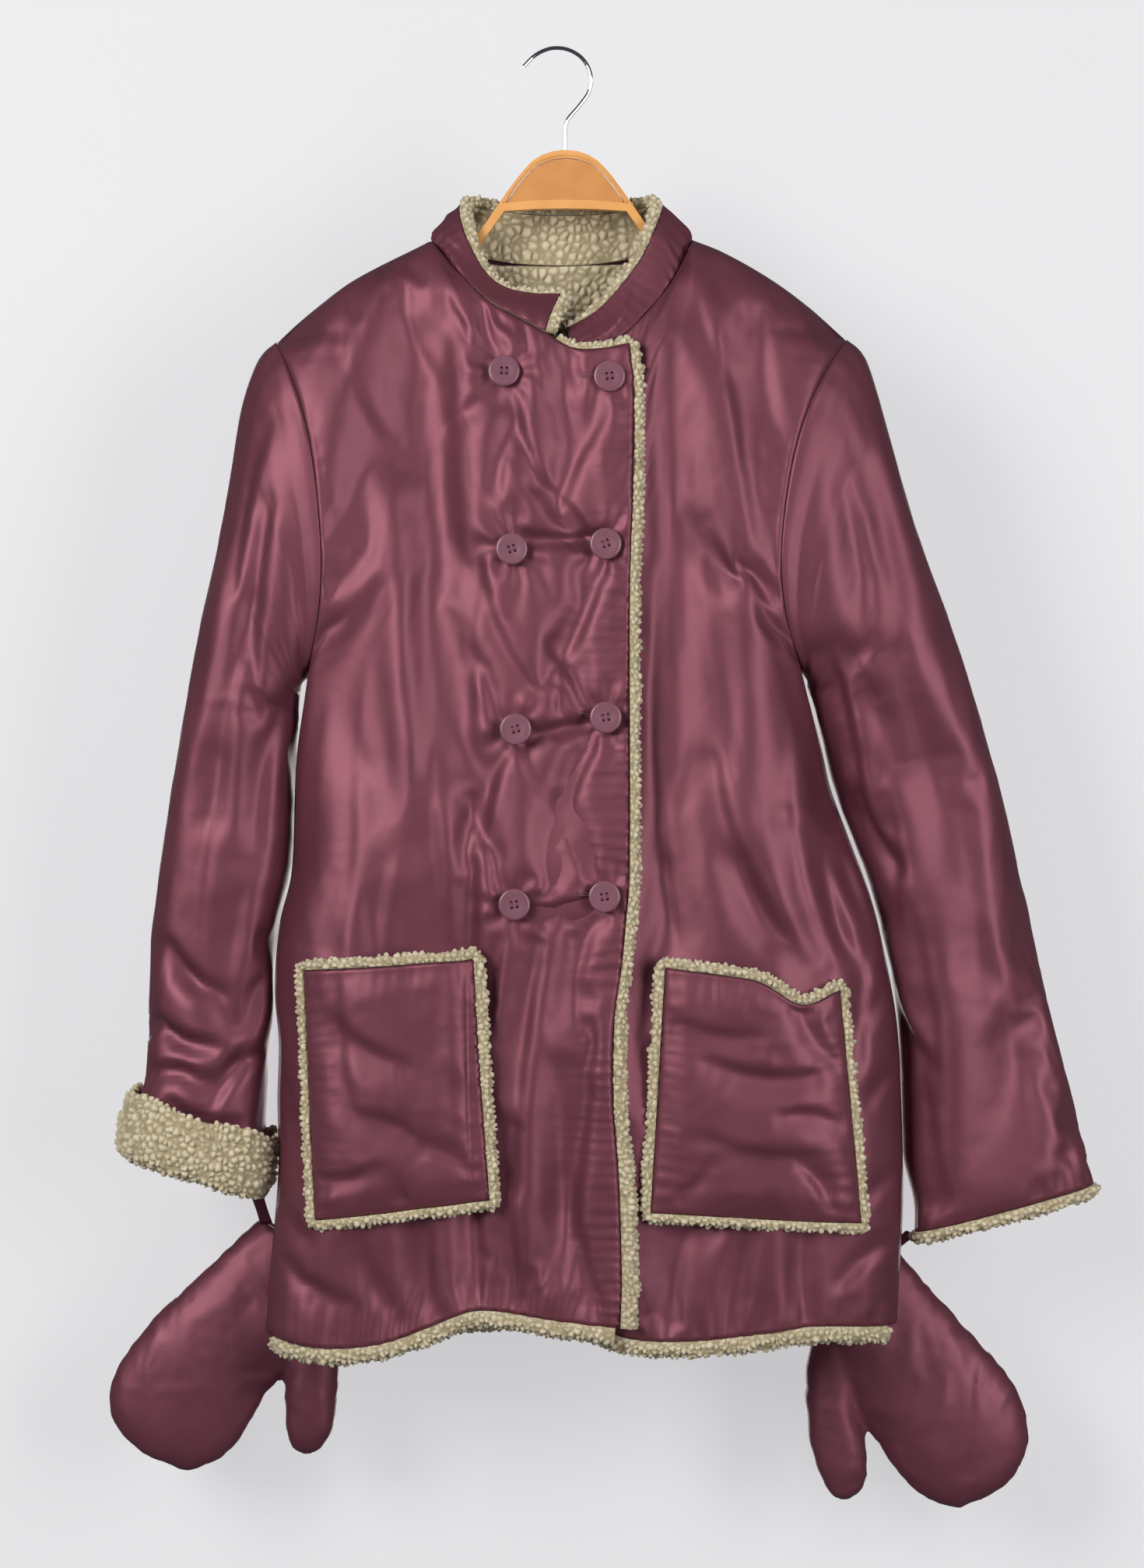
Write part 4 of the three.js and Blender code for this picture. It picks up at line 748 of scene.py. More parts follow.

# %% [markdown]
# ## Letting the cloth settle
# Listed folds say where the cloth is pulled, but not how it gives way. So each panel is
# run as cloth for a moment. It starts a little wider than it hangs, as a shell is cut wider than
# its wadding. Its sewn edges, and the cloth under the buttons, are then drawn in to their places,
# so the rest buckles into mostly upright folds. The cloth is coarse, and a smooth curve spreads
# its movement over the fine mesh.

# %% Cloth settling
def apply_modifiers(piece):
    depsgraph = bpy.context.evaluated_depsgraph_get()
    mesh, raw = bpy.data.meshes.new_from_object(piece.evaluated_get(depsgraph)), piece.data
    piece.modifiers.clear()
    piece.data = mesh
    bpy.data.meshes.remove(raw)


def points_of(piece):
    flat = np.empty(len(piece.data.vertices) * 3)
    piece.data.vertices.foreach_get("co", flat)
    return flat.reshape(-1, 3)


DRAWN_IN_BY = 12  # the frame at which the held points have reached their places
STEPS_PER_FRAME = 5
POINT_MASS = 0.15
AIR_DAMPING = 5.0


def run_cloth(piece, frames, pressure=0.0, wider=None, bending=0.5, pins=None):
    cloth = piece.modifiers.new("cloth", "CLOTH")
    cloth.settings.quality = STEPS_PER_FRAME
    cloth.settings.mass = POINT_MASS
    cloth.settings.bending_stiffness = bending
    cloth.settings.air_damping = AIR_DAMPING
    cloth.settings.effector_weights.gravity = 0
    cloth.settings.use_pressure = pressure > 0
    cloth.settings.uniform_pressure_force = pressure
    if pins is not None:
        group = piece.vertex_groups.new(name="sewn")
        group.add([int(i) for i in pins], 1.0, "REPLACE")
        cloth.settings.vertex_group_mass = "sewn"
    start = points_of(piece)
    if wider is not None:
        piece.data.vertices.foreach_set("co", (start * wider).reshape(-1))
        piece.data.update()
        piece.shape_key_add(name="cut")
        hung = piece.shape_key_add(name="hung")
        hung.data.foreach_set("co", start.reshape(-1))
        for frame, value in ((1, 0.0), (DRAWN_IN_BY, 1.0)):
            hung.value = value
            hung.keyframe_insert("value", frame=frame)
    cloth.point_cache.frame_start, cloth.point_cache.frame_end = 1, frames
    for number in range(1, frames + 1):
        bpy.context.scene.frame_set(number)
    apply_modifiers(piece)
    bpy.context.scene.frame_set(1)
    for action in list(bpy.data.actions):
        bpy.data.actions.remove(action)
    return (points_of(piece) - start) / MM


CUT_WIDER = (1.03, 1.03, 1.004)
CLOTH_BENDING = 5.0
HELD_MM = 15.0


def settle_cloth(name, grid, every, cap_mm, around=False, frames=24, held=()):
    rows, columns = grid.shape[:2]
    r = np.unique(np.append(np.arange(0, rows - 1, every), rows - 1))
    c = np.arange(0, columns, every)
    if not around:
        c = np.unique(np.append(np.arange(0, columns - 1, every), columns - 1))
    coarse = grid[np.ix_(r, c)]
    index = np.arange(len(r) * len(c)).reshape(len(r), len(c))
    pins = [index[:1], index[-1:]] + ([] if around else [index[:, :1], index[:, -1:]])
    for at_x, at_z, _ in held:
        pins.append(index[np.hypot(coarse[..., 0] - at_x, coarse[..., 2] - at_z) < HELD_MM])
    mesh = bpy.data.meshes.new(name)
    faces = grid_faces(len(r), len(c), 0, around).tolist()
    mesh.from_pydata((coarse.reshape(-1, 3) * MM).tolist(), [], faces)
    piece = bpy.data.objects.new(name, mesh)
    bpy.context.scene.collection.objects.link(piece)
    pins = np.concatenate([p.ravel() for p in pins])
    moved = run_cloth(piece, frames, wider=CUT_WIDER, bending=CLOTH_BENDING, pins=pins)
    bpy.data.objects.remove(piece)
    moved = moved.reshape(len(r), len(c), 3)
    far = np.linalg.norm(moved, axis=-1, keepdims=True)
    moved *= np.minimum(1, cap_mm / np.maximum(far, 1e-6))
    if around:
        c, moved = np.append(c, columns), np.concatenate([moved, moved[:, :1]], 1)
    spread = curve(r, moved)(np.arange(rows))
    spread = curve(c, spread.transpose(1, 0, 2))(np.arange(columns)).transpose(1, 0, 2)
    kept = float(np.abs(spread).max())
    print(name, "settled: moved up to", round(float(far.max()), 1), "mm, kept", round(kept, 1))
    return grid + spread


# %% [markdown]
# ## The body panels
# Each panel is a sheet of places spread between its four edges, puffed out by the depth above and
# then creased. Its inside is the same sheet moved in by the thickness of the wadding.

# %% Body panels
def armhole_at(side, face, z, inset):
    ring_z = armhole(side, face)[:, 2]
    stations = np.arange(len(ring_z))
    return curve(stations, armhole(side, face, inset))(np.interp(z, ring_z, stations))


def body_point(panel, x, z, relief=0.0):
    depth, settle = body_depth(panel, x, z)
    y = depth - relief * settle
    return np.stack([x, -y if PANELS[panel]["face"] == "front" else y, z], -1)


def surface_normal(points, towards):
    across = np.gradient(points, axis=1)
    up = np.gradient(points, axis=0)
    normal = unit(np.cross(across, up))
    return normal * np.sign(np.sum(normal * towards))


def neck_inward(points):
    inward = NECK_AXIS - points
    inward[..., 2] = 0
    return unit(inward)


def crumpled(u, v, high, wide, long, mean=0.45, at=(0, 0)):
    return high * (creases(u / wide + at[0], v / long + at[1]) - mean)


def billows(u, v, high, wide, long, at=(0, 0)):
    return high * lumps(u / wide + at[0], v / long + at[1])


def panel_relief(panel, x, z, near, hem):
    relief = fold_relief(FOLDS[panel][:3], x, z, 1.0) + fold_relief(FOLDS[panel][3:], x, z)
    relief += (crumpled(x, z, high=3.6, wide=100, long=330, at=(3, 7))
               + crumpled(x, z, high=1.1, wide=42, long=120, at=(3, 7)))
    relief += (crumpled(x, z, high=0.4, wide=15, long=40, mean=0.4)
               + billows(x, z, high=4.6, wide=84, long=280, at=(30, 12)))
    relief += billows(x, z, high=3.4, wide=40, long=150, at=(50, 5)) * smooth_step(-z / 250 - 2.4)
    relief += seam_puckers(x, top_z(panel, x) - z, reach=24, pitch=12.5, height=1.7)
    relief += (seam_puckers(z, x - near, reach=16)
               + seam_puckers(x, z - hem, reach=26, pitch=13, height=2.4))
    if panel == "front_right":
        edge = x - lap_edge(z)
        relief += button_puckers(x, z) + seam_puckers(z, edge, reach=17, pitch=8.5, height=1.7)
    return relief


CLOTH_CAP_MM = 8.0
CLOTH_EVERY = 2  # the cloth has every second row and column of the mesh
LEAST_WALL_MM = 5.0
UNDERARM_MID_Z, UNDERARM_HIGH_MM, UNDERARM_WIDE_MM = -490, 34, 70
SMOOTHING_ROUNDS = 120
PANEL_HIGH_MM = 770


def panel_grids(panel, step):
    near = "left" if panel == "front_left" else "right"
    start, end = TOP_SPAN[panel]
    u = np.linspace(0, 1, int(abs(end - start) / step) + 1)
    foot_z = {"right": -1004.0, "left": -998.0}[near]
    rows = np.linspace(foot_z, armhole(near, "front")[-1, 2], int(PANEL_HIGH_MM / step))
    above = rows > UNDERARM_Z[near]
    first = np.stack([side_x(near, rows), rows], -1)
    foot_end = {"front_right": 49.0, "front_left": UNDERLAP_X, "back": 267.0}[panel]
    foot_end_z = float(hem_z[panel](foot_end))
    if panel == "back":
        far = np.linspace(foot_end_z, armhole("left", "front")[-1, 2], len(rows))
        last = np.stack([side_x("left", far), far], -1)
    else:
        share = (rows - rows[0]) / (rows[-1] - rows[0])
        far = mix(foot_end_z, float(top_z(panel, np.array(float(end)))), share)
        far_x = lap_edge(far) if panel == "front_right" else np.full_like(far, UNDERLAP_X)
        last = np.stack([far_x, far], -1)
    top_x = mix(start, end, u)
    top = np.stack([top_x, top_z(panel, top_x)], -1)
    foot_x = mix(first[0, 0], last[0, 0], u)
    foot = np.stack([foot_x, hem_z[panel](foot_x)], -1)
    v = ((rows - rows[0]) / (rows[-1] - rows[0]))[:, None, None]
    w = u[None, :, None]
    corners = mix(mix(foot[0], foot[-1], w), mix(top[0], top[-1], w), v)
    places = mix(foot[None], top[None], v) + mix(first[:, None], last[:, None], w) - corners
    x, z = places[..., 0], places[..., 1]
    plain = body_point(panel, x, z, fold_relief(FOLDS[panel][:3], x, z, 1.0))
    hem_line = hem_z[panel](x)
    outer = body_point(panel, x, z, panel_relief(panel, x, z, first[:, None, 0], hem_line))
    from_side = np.abs(x - first[:, None, 0])
    if panel == "back":
        from_side = np.minimum(from_side, np.abs(x - last[:, None, 0]))
    beside_underarm = np.exp(-((z[1:-1] - UNDERARM_MID_Z) / UNDERARM_HIGH_MM) ** 2
                             - (from_side[1:-1] / UNDERARM_WIDE_MM) ** 2)
    for _ in range(SMOOTHING_ROUNDS):
        level = (outer[:-2, 1:-1, 1] + outer[2:, 1:-1, 1]) / 2
        outer[1:-1, 1:-1, 1] = mix(outer[1:-1, 1:-1, 1], level, beside_underarm[:, 1:-1])
    sewn_on = BUTTONS if panel == "front_right" else ()
    outer = settle_cloth(f"{panel}_settling", outer, CLOTH_EVERY, CLOTH_CAP_MM, held=sewn_on)
    sign = 1.0 if PANELS[panel]["face"] == "front" else -1.0
    inward = surface_normal(plain, np.array([0, sign, 0]))
    sunk = np.sum((outer - plain) * inward, -1)
    inner = plain + inward * np.maximum(WALL, sunk + LEAST_WALL_MM)[..., None]
    crossed = (x < NECK_RIGHT_X) | (x > NECK_LEFT_X)
    slope = (top_z(panel, top_x + 1) - top_z(panel, top_x - 1)) / 2
    down = unit(np.stack([slope, 0 * slope, -np.ones_like(slope)], -1))
    around = unit(neck_inward(plain[-1]) + np.array([0, 0, -0.8]))
    inner[-1] = plain[-1] + WALL * np.where(crossed[-1][:, None], down, around)
    edges = [(0, near)] + ([(-1, "left")] if panel == "back" else [])
    for column, side in edges:
        inner[:, column] = plain[:, column] + np.array([WALL if side == "right" else -WALL, 0, 0])
        rim = armhole_at(side, PANELS[panel]["face"], z[above, column], WALL)
        inner[above, column] = rim + [0, -sign * SEAM_GAP / 2, 0]
    return outer, inner, plain


PANEL_STEP = {"front_right": 3.3, "front_left": 3.3, "back": 4.6}
body = {}
for panel, step in PANEL_STEP.items():
    outer, inner, plain = panel_grids(panel, step)
    body[panel] = {"outer": outer, "inner": inner, "plain": plain}
    points, faces, which = wall_mesh(outer, inner)
    make_piece(f"{panel}_shell", points, faces, [nylon, pile], "nylon_shell", [panel], which, fill=0.5)
    print(panel, "grid", outer.shape[:2])

# %% [markdown]
# ## The sleeves
# The arms hang from the shoulder seam, so their folds start there and run down, and short ones
# cross the inside of the elbow and the wrist, where the sleeve is pushed together. Below the
# underarm each sleeve leans lightly on the side of the body, so its near edge is moved there.

# %% Sleeves
SLEEVE_FOLDS = {
    "right": [
        [-228, -300, -250, -420, 5, 6, 16, 3.0], [-222, -360, -232, -520, 5, 6, 14, 3.4],
        [-242, -280, -268, -390, 5, 8, 18, 2.4], [-236, -440, -262, -600, 7, 8, 20, 3.2],
        [-214, -520, -234, -620, 4, 6, 14, 3.0], [-262, -560, -284, -720, 5, 8, 20, 2.6],
        [-240, -640, -262, -760, 5, 7, 18, 2.8], [-304, -700, -268, -736, 5, 5, 12, 4.0],
        [-316, -760, -270, -778, 5, 5, 11, 4.6], [-318, -800, -276, -806, -4, 5, 10, 4.4],
        [-300, -826, -250, -842, 4, 5, 10, 4.6], [-236, -790, -268, -826, 4, 5, 12, 3.6],
        [-228, -700, -246, -790, 4, 6, 14, 2.6], [-312, -836, -272, -852, 3, 4, 9, 4.0],
    ],
    "left": [
        [222, -350, 236, -470, -5, 7, 16, 3.0], [204, -480, 232, -600, -6, 7, 16, 4.0],
        [216, -470, 262, -560, -5, 7, 18, 2.8], [240, -330, 262, -470, -6, 9, 20, 2.4],
        [244, -560, 262, -680, -5, 8, 20, 2.8], [232, -590, 262, -640, 4, 6, 14, 3.2],
        [262, -480, 300, -640, -7, 9, 22, 2.4], [300, -560, 330, -740, -6, 9, 22, 2.4],
        [276, -680, 300, -820, -5, 8, 20, 2.4], [330, -700, 372, -860, -6, 9, 22, 2.2],
        [262, -740, 290, -790, 4, 6, 14, 2.8], [284, -800, 300, -900, -4, 8, 18, 2.0],
    ],
}
SLEEVE_STEP = 3.8
TOUCH_MM = 0.8  # how clear of the body the near edge stays
LEAN_MM = (-3, 16)  # how far it may move, out and in
LEAN_FADE_MM = 45
SLICE_MM = 8.0
BELOW_UNDERARM_Z, UNDERARM_FADE_MM = -500, 30
CLEAR_OF_CUFF_MM = {"right": 62.0, "left": 14.0}


def fine_sleeve(rows, step):
    middle = np.stack([(rows["out_x"] + rows["in_x"]) / 2, (rows["out_z"] + rows["in_z"]) / 2], -1)
    travelled = np.concatenate([[0], np.cumsum(np.linalg.norm(np.diff(middle, axis=0), axis=1))])
    stations = np.arange(len(travelled))
    outside = np.concatenate([[0], np.cumsum(np.hypot(np.diff(rows["out_x"]), np.diff(rows["out_z"])))])
    fine = np.interp(np.linspace(0, outside[-1], int(outside[-1] / step)), outside, stations)
    return {name: curve(stations, value)(fine) for name, value in rows.items()}, outside


def lean_on_body(side, outer, down, turn):
    sign = -1.0 if side == "right" else 1.0
    trunk = np.concatenate([grids["outer"].reshape(-1, 3) for grids in body.values()])
    heights = np.arange(-1000.0, UNDERARM_MID_Z, SLICE_MM)
    reach = [np.max(sign * trunk[np.abs(trunk[:, 2] - height) < SLICE_MM, 0]) for height in heights]
    nearest = np.argmin(sign * outer[..., 0], axis=1)
    ring = np.arange(len(outer))
    x, z = outer[ring, nearest, 0], outer[ring, nearest, 2]
    gap = np.clip(sign * x - np.interp(z, heights, reach) - TOUCH_MM, *LEAN_MM)
    gap = np.convolve(np.pad(gap, 4, mode="edge"), np.ones(9) / 9, "valid")
    to_cuff = down[-1, 0] - CLEAR_OF_CUFF_MM[side] - down[:, 0]
    gap *= smooth_step((BELOW_UNDERARM_Z - z) / UNDERARM_FADE_MM) * smooth_step(to_cuff / LEAN_FADE_MM)
    print(side, "sleeve leans on the body, moved up to", round(float(gap.max()), 1), "mm")
    shift = np.zeros_like(outer)
    shift[..., 0] = -sign * gap[:, None] * ((1 - np.cos(turn)) / 2) ** 1.5
    return shift


sleeves = {}
for side in ("right", "left"):
    rows, outside = fine_sleeve(SLEEVES[side], SLEEVE_STEP)
    plain = sleeve_rings(rows)
    inner = sleeve_rings(rows, WALL)
    away = np.array([-ARMHOLE_GAP if side == "right" else ARMHOLE_GAP, 0, 0])
    plain[0], inner[0] = plain[0] + away, inner[0] + away
    x, z = plain[..., 0], plain[..., 2]
    down = np.linspace(0, outside[-1], len(plain))[:, None] + 0 * x
    turn = np.arange(ARM_SIDES)[None] * 2 * np.pi / ARM_SIDES + 0 * x
    front = smooth_step(-np.sin(turn) * 3)
    relief = fold_relief(SLEEVE_FOLDS[side], x, z) * front
    relief += fold_relief(SLEEVE_FOLDS[side], x * 1.02 + 6, z + 26) * smooth_step(np.sin(turn) * 3)
    around = 45 * np.sin(turn) + 30 * np.cos(turn)
    relief += (crumpled(around, down, high=3.2, wide=70, long=300, at=(3, 2))
               + crumpled(around, down, high=1.2, wide=40, long=120))
    relief += (crumpled(around, down, high=0.4, wide=14, long=30, mean=0.4)
               + billows(around, down, high=3.8, wide=44, long=220, at=(7, 4)))
    relief += seam_puckers(turn * 45, down, reach=20, pitch=12, height=1.5)
    relief += seam_puckers(turn * 45, down[-1] - down, reach=16, pitch=10, height=1.2)
    settle = smooth_step(down / 26) * 0.8 + 0.2
    inward = surface_normal(plain, inner - plain)
    outer = plain + inward * (relief * settle)[..., None]
    outer[0] = plain[0]
    outer = settle_cloth(f"sleeve_{side}_settling", outer, CLOTH_EVERY, CLOTH_CAP_MM, around=True)
    sunk = np.sum((outer - plain) * inward, -1)
    shift = lean_on_body(side, outer, down, turn)
    inner = inner + inward * np.maximum(0, sunk - WALL + LEAST_WALL_MM)[..., None] + shift
    outer = outer + shift
    sleeves[side] = {"outer": outer, "inner": inner, "plain": plain}
    points, faces, which = wall_mesh(outer, inner, around=True)
    make_piece(f"sleeve_{side}_shell", points, faces, [nylon, pile], "nylon_shell",
               [f"sleeve_{side}"], which, fill=0.5)
    print("sleeve", side, outer.shape[:2])

# %% [markdown]
# ## Knots of pile as relief
# Tumbled pile looks like cobbles: rounded knots packed edge to edge, with thin dark gaps. That is
# what a cell pattern gives. Points are strewn through space, one to a cell, and the skin rises
# where it is near one of them and sinks where two are equally near.

# %% Pile relief
STREWN = rng.uniform(0.08, 0.92, (32, 32, 32, 3))
RISE = rng.uniform(0.55, 1.0, (32, 32, 32))
FINE_PILE_MM = 1.25


def knots(points, cell_mm):
    spot = points / cell_mm
    home = np.floor(spot).astype(int)
    nearest = np.full(len(spot), 9.0)
    second = np.full(len(spot), 9.0)
    rise = np.ones(len(spot))
    for step in np.ndindex(3, 3, 3):
        cell = home + np.array(step) - 1
        i, j, k = (cell % 32).T
        far = np.linalg.norm(cell + STREWN[i, j, k] - spot, axis=1)
        closer = far < nearest
        second = np.where(closer, nearest, np.minimum(second, far))
        rise = np.where(closer, RISE[i, j, k], rise)
        nearest = np.where(closer, far, nearest)
    gap = smooth_step((second - nearest) / 0.4)
    return gap * rise * (0.55 + 0.45 * np.clip(1 - nearest ** 2, 0, 1))


def refine_rows(grid, step_mm, loop=False):
    count = len(grid)
    if loop:
        grid = np.concatenate([grid, grid[:1]])
    run = np.linalg.norm(np.diff(grid, axis=0), axis=-1).mean(axis=1)
    run = np.concatenate([[0], np.cumsum(np.maximum(run, 1e-3))])
    wanted = np.linspace(0, run[-1], max(int(run[-1] / step_mm), count) + 1)
    return curve(run, grid)(wanted[:-1] if loop else wanted)


def refine_columns(grid, step_mm, loop=False):
    return refine_rows(grid.swapaxes(0, 1), step_mm, loop).swapaxes(0, 1)


def fleece(grid, normal, cell_mm, height_mm):
    raised = knots(grid.reshape(-1, 3), cell_mm).reshape(grid.shape[:2])
    # The knot height is also returned, and the pile material paints shade into the gaps from it.
    height = np.clip(raised / 0.6, 0, 1)
    small = lumps(grid[..., 0] / 1.9 + grid[..., 1] / 2.3, grid[..., 2] / 1.9 + grid[..., 1] / 2.1)
    return grid + normal * (height_mm * (raised - 0.35) + 0.3 * small)[..., None], height


sample = rng.uniform(0, 60, (2000, 3))
tried = knots(sample, 5.0)
print("knot relief from", round(float(tried.min()), 2), "to", round(float(tried.max()), 2))

# %% [markdown]
# ## The stand collar
# The collar is a padded band that stands on the neckline and leans in. Its stations are smoothed
# into a continuous band, and its seam gathers the shell above and below.

# %% Collar
COLLAR = [
    ("front_right", -9, 3, -37, -196), ("front_right", -28, -19, -34, -195),
    ("front_right", -48, -39, -29, -190), ("front_right", -63, -53, -26, -180),
    ("front_right", -76, -63, -22, -165), ("front_right", -90, -73, -15, -143),
    ("back", -98, -77, 3, -123), ("back", -84, -72, 17, -119), ("back", -55, -52, 28, -121),
    ("back", -20, -20, 34, -123), ("back", 25, 25, 34, -123), ("back", 62, 58, 28, -121),
    ("back", 92, 79, 17, -119), ("back", 106, 84, 3, -123), ("front_left", 99, 77, -17, -144),
    ("front_left", 88, 66, -22, -167), ("front_left", 70, 49, -26, -190),
    ("front_left", 48, 31, -33, -209),
    ("front_left", 10, 8, -38, -223),
]
COLLAR_SEAT, COLLAR_BULGE = 0.9, 4.0
COLLAR_UP, COLLAR_ALONG = 22, 260

base = np.array([body_point(panel, np.array(float(x)), top_z(panel, np.array(float(x))), 0.0)
                 for panel, x, _, _, _ in COLLAR]) + [0, 0, COLLAR_SEAT]
top = np.array([row[2:] for row in COLLAR], float)
stations = np.arange(len(COLLAR))
fine = np.linspace(0, len(COLLAR) - 1, COLLAR_ALONG)
base = np.stack([curve(stations, base[:, axis])(fine) for axis in range(3)], -1)
top = np.stack([curve(stations, top[:, axis])(fine) for axis in range(3)], -1)
t = np.linspace(0, 1, COLLAR_UP)[:, None, None]
out = -neck_inward(base)
collar_plain = mix(base[None], top[None], t) + out[None] * COLLAR_BULGE * 4 * t * (1 - t)


def collar_layer(depth):
    inward = surface_normal(collar_plain, neck_inward(collar_plain))
    inward[..., 2] *= t[..., 0] ** 2
    inward[0] = neck_inward(collar_plain[0])
    return collar_plain + unit(inward) * depth


along = np.cumsum(np.linalg.norm(np.diff(base, axis=0, prepend=base[:1]), axis=1))[None] + 0 * t[..., 0]
rise = t[..., 0] * 28 + 0 * along
relief = (3.6 * (creases(along / 38 + 4 + rise / 30, rise / 30 + 9) - 0.45)
          + seam_puckers(along, rise, 10, 10, 1.8))
relief += seam_puckers(along, rise - 28, 9, 9, 1.4) + 1.6 * lumps(along / 30 + 3, rise / 30)
held_at_seams = np.sin(np.pi * t[..., 0]) ** 0.5
collar_outer = collar_plain + neck_inward(collar_plain) * (relief * held_at_seams)[..., None]
points, faces, which = wall_mesh(collar_outer, collar_layer(SHELL))
make_piece("collar_shell", points, faces, [nylon, pile], "nylon_shell", ["collar"], which, fill=0.6)
LINING_TUCK = 2.4
tuck = np.array([0, 0, -LINING_TUCK]) * (1 - smooth_step(t * 3))
collar_under = collar_layer(SHELL + SEAM_GAP) + tuck
collar_inside = collar_layer(SHELL + SEAM_GAP + LINING) + tuck
LINING_KNOT_MM, LINING_KNOT_HIGH = 7.0, 4.2


def lining_piece(name, under, face, towards, replaces):
    both = refine_rows(np.concatenate([under, face], -1), FINE_PILE_MM)
    both = refine_columns(both, FINE_PILE_MM)
    under, face = both[..., :3], both[..., 3:]
    rows, columns = both.shape[:2]
    free = np.minimum.outer(smooth_step(np.minimum(np.arange(rows), np.arange(rows)[::-1]) / 4),
                            smooth_step(np.minimum(np.arange(columns), np.arange(columns)[::-1]) / 4))
    raised, height = fleece(face, surface_normal(face, towards(face)) * free[..., None], LINING_KNOT_MM,
                            LINING_KNOT_HIGH)
    points, faces, which = wall_mesh(under, raised)
    make_piece(name, points, faces, [pile, pile], "pile", replaces, which, fill=0.5, knot=height)
    return rows, columns


print("collar lining", lining_piece("collar_lining_pile", collar_under, collar_inside, neck_inward,
                                    ["collar_lining"]))

grids = body["back"]
columns = slice(int(0.26 * grids["inner"].shape[1]), int(0.72 * grids["inner"].shape[1]))
rows = slice(-26, -1)
under = unit(grids["inner"][rows, columns] - grids["plain"][rows, columns])
lining_out = grids["inner"][rows, columns] + under * SEAM_GAP
lining_in = lining_out + under * LINING
print("neck lining", lining_piece("neck_lining_pile", lining_out, lining_in,
                                  lambda face: np.array([0, -1.0, 0]), ["neck_lining"]))

# %% [markdown]
# ## Patch pockets
# Each pocket is a small padded panel laid on the front and sewn down on three sides. It stands off
# most at its middle, and its mouth sags a little where a hand has pulled it.

# %% Pockets
POCKET_WALL, POCKET_GAPE = 6.0, 8.5
POCKETS = {
    "right": dict(panel="front_right", tl=(-191, -720), tr=(-60, -710), br=(-49, -894),
                  bl=(-183, -912), dip=0, seat=1.6),
    "left": dict(panel="front_left", tl=(84, -717), tr=(216, -733), br=(233, -914),
                 bl=(73, -905), dip=16, seat=0.5),
}
POCKET_FOLDS = {
    "right": [[-170, -760, -120, -790, 4, 6, 16, 2.2], [-90, -740, -84, -860, 4, 8, 18, 2.2],
              [-150, -830, -104, -850, -4, 5, 14, 2.0], [-176, -880, -140, -870, 3, 4, 10, 2.0],
              [-70, -870, -98, -856, 3, 4, 10, 2.0], [-120, -880, -112, -902, 2, 4, 9, 1.8],
              [-168, -740, -160, -820, 4, 7, 16, 1.8]],
    "left": [[120, -790, 196, -800, 6, 6, 14, 3.6], [186, -740, 214, -790, 4, 6, 12, 3.0],
             [96, -760, 150, -770, 4, 6, 16, 2.2], [120, -850, 190, -862, 5, 6, 18, 2.4],
             [210, -900, 190, -870, 3, 4, 11, 2.6], [96, -890, 116, -868, 3, 4, 11, 2.2],
             [176, -830, 214, -836, -4, 5, 12, 2.4]],
}


def pocket_layer(pocket, out, step=3.0):
    wide, high = int(145 / step), int(190 / step)
    across, up = np.linspace(0, 1, wide)[None], np.linspace(0, 1, high)[:, None]
    corner = {name: np.array(pocket[name], float) for name in ("tl", "tr", "br", "bl")}
    low = [mix(corner["bl"][i], corner["br"][i], across) for i in (0, 1)]
    high_edge = [mix(corner["tl"][i], corner["tr"][i], across) for i in (0, 1)]
    x, z = (mix(low[i], high_edge[i], up) for i in (0, 1))
    z = z - pocket["dip"] * up ** 3 * np.exp(-((across - 0.78) / 0.16) ** 2)
    plain = body_point(pocket["panel"], x, z, fold_relief(FOLDS[pocket["panel"]][:3], x, z, 1.0))
    outward = surface_normal(plain, np.array([0, -1, 0]))
    belly = np.sqrt(4 * across * (1 - across)) * quarter(up * 2.5)
    stands_off = (pocket["seat"] + POCKET_GAPE * belly + out)[..., None]
    return plain + outward * stands_off, outward, across, up


pockets = {}
for side, pocket in POCKETS.items():
    inner, outward, across, up = pocket_layer(pocket, 0.0)
    plain = pocket_layer(pocket, POCKET_WALL)[0]
    x, z = plain[..., 0], plain[..., 2]
    wide_mm, high_mm = across * 145 + 0 * up, up * 185 + 0 * across
    edge = np.minimum(np.minimum(wide_mm, 145 - wide_mm), np.minimum(high_mm, 185 - high_mm))
    relief = fold_relief(POCKET_FOLDS[side], x, z) + 1.5 * (creases(x / 34 + 1, z / 40 + 6) - 0.45)
    relief += (seam_puckers(high_mm, wide_mm, 13, 9, 1.3)
               + seam_puckers(high_mm, 145 - wide_mm, 13, 10, 1.3))
    relief += (seam_puckers(wide_mm, high_mm, 13, 9.5, 1.3)
               + seam_puckers(wide_mm, 185 - high_mm, 13, 11, 1.2))
    relief -= 2.2 * smooth_step(edge / 22)
    outer = plain - outward * (relief * (0.25 + 0.75 * smooth_step(edge / 9)))[..., None]
    pockets[side] = {"outer": outer, "inner": inner, "plain": plain}
    points, faces, which = wall_mesh(outer, inner)
    make_piece(f"pocket_{side}_shell", points, faces, [nylon, pile], "nylon_shell",
               [f"pocket_{side}"], which,
               fill=0.6)
    print("pocket", side, outer.shape[:2])

# %% [markdown]
# ## Rolls of pile along the edges
# Where the lining is turned over an edge it shows as a soft roll. A roll follows pairs of points
# across the cloth's edge, and its skin carries the knots.

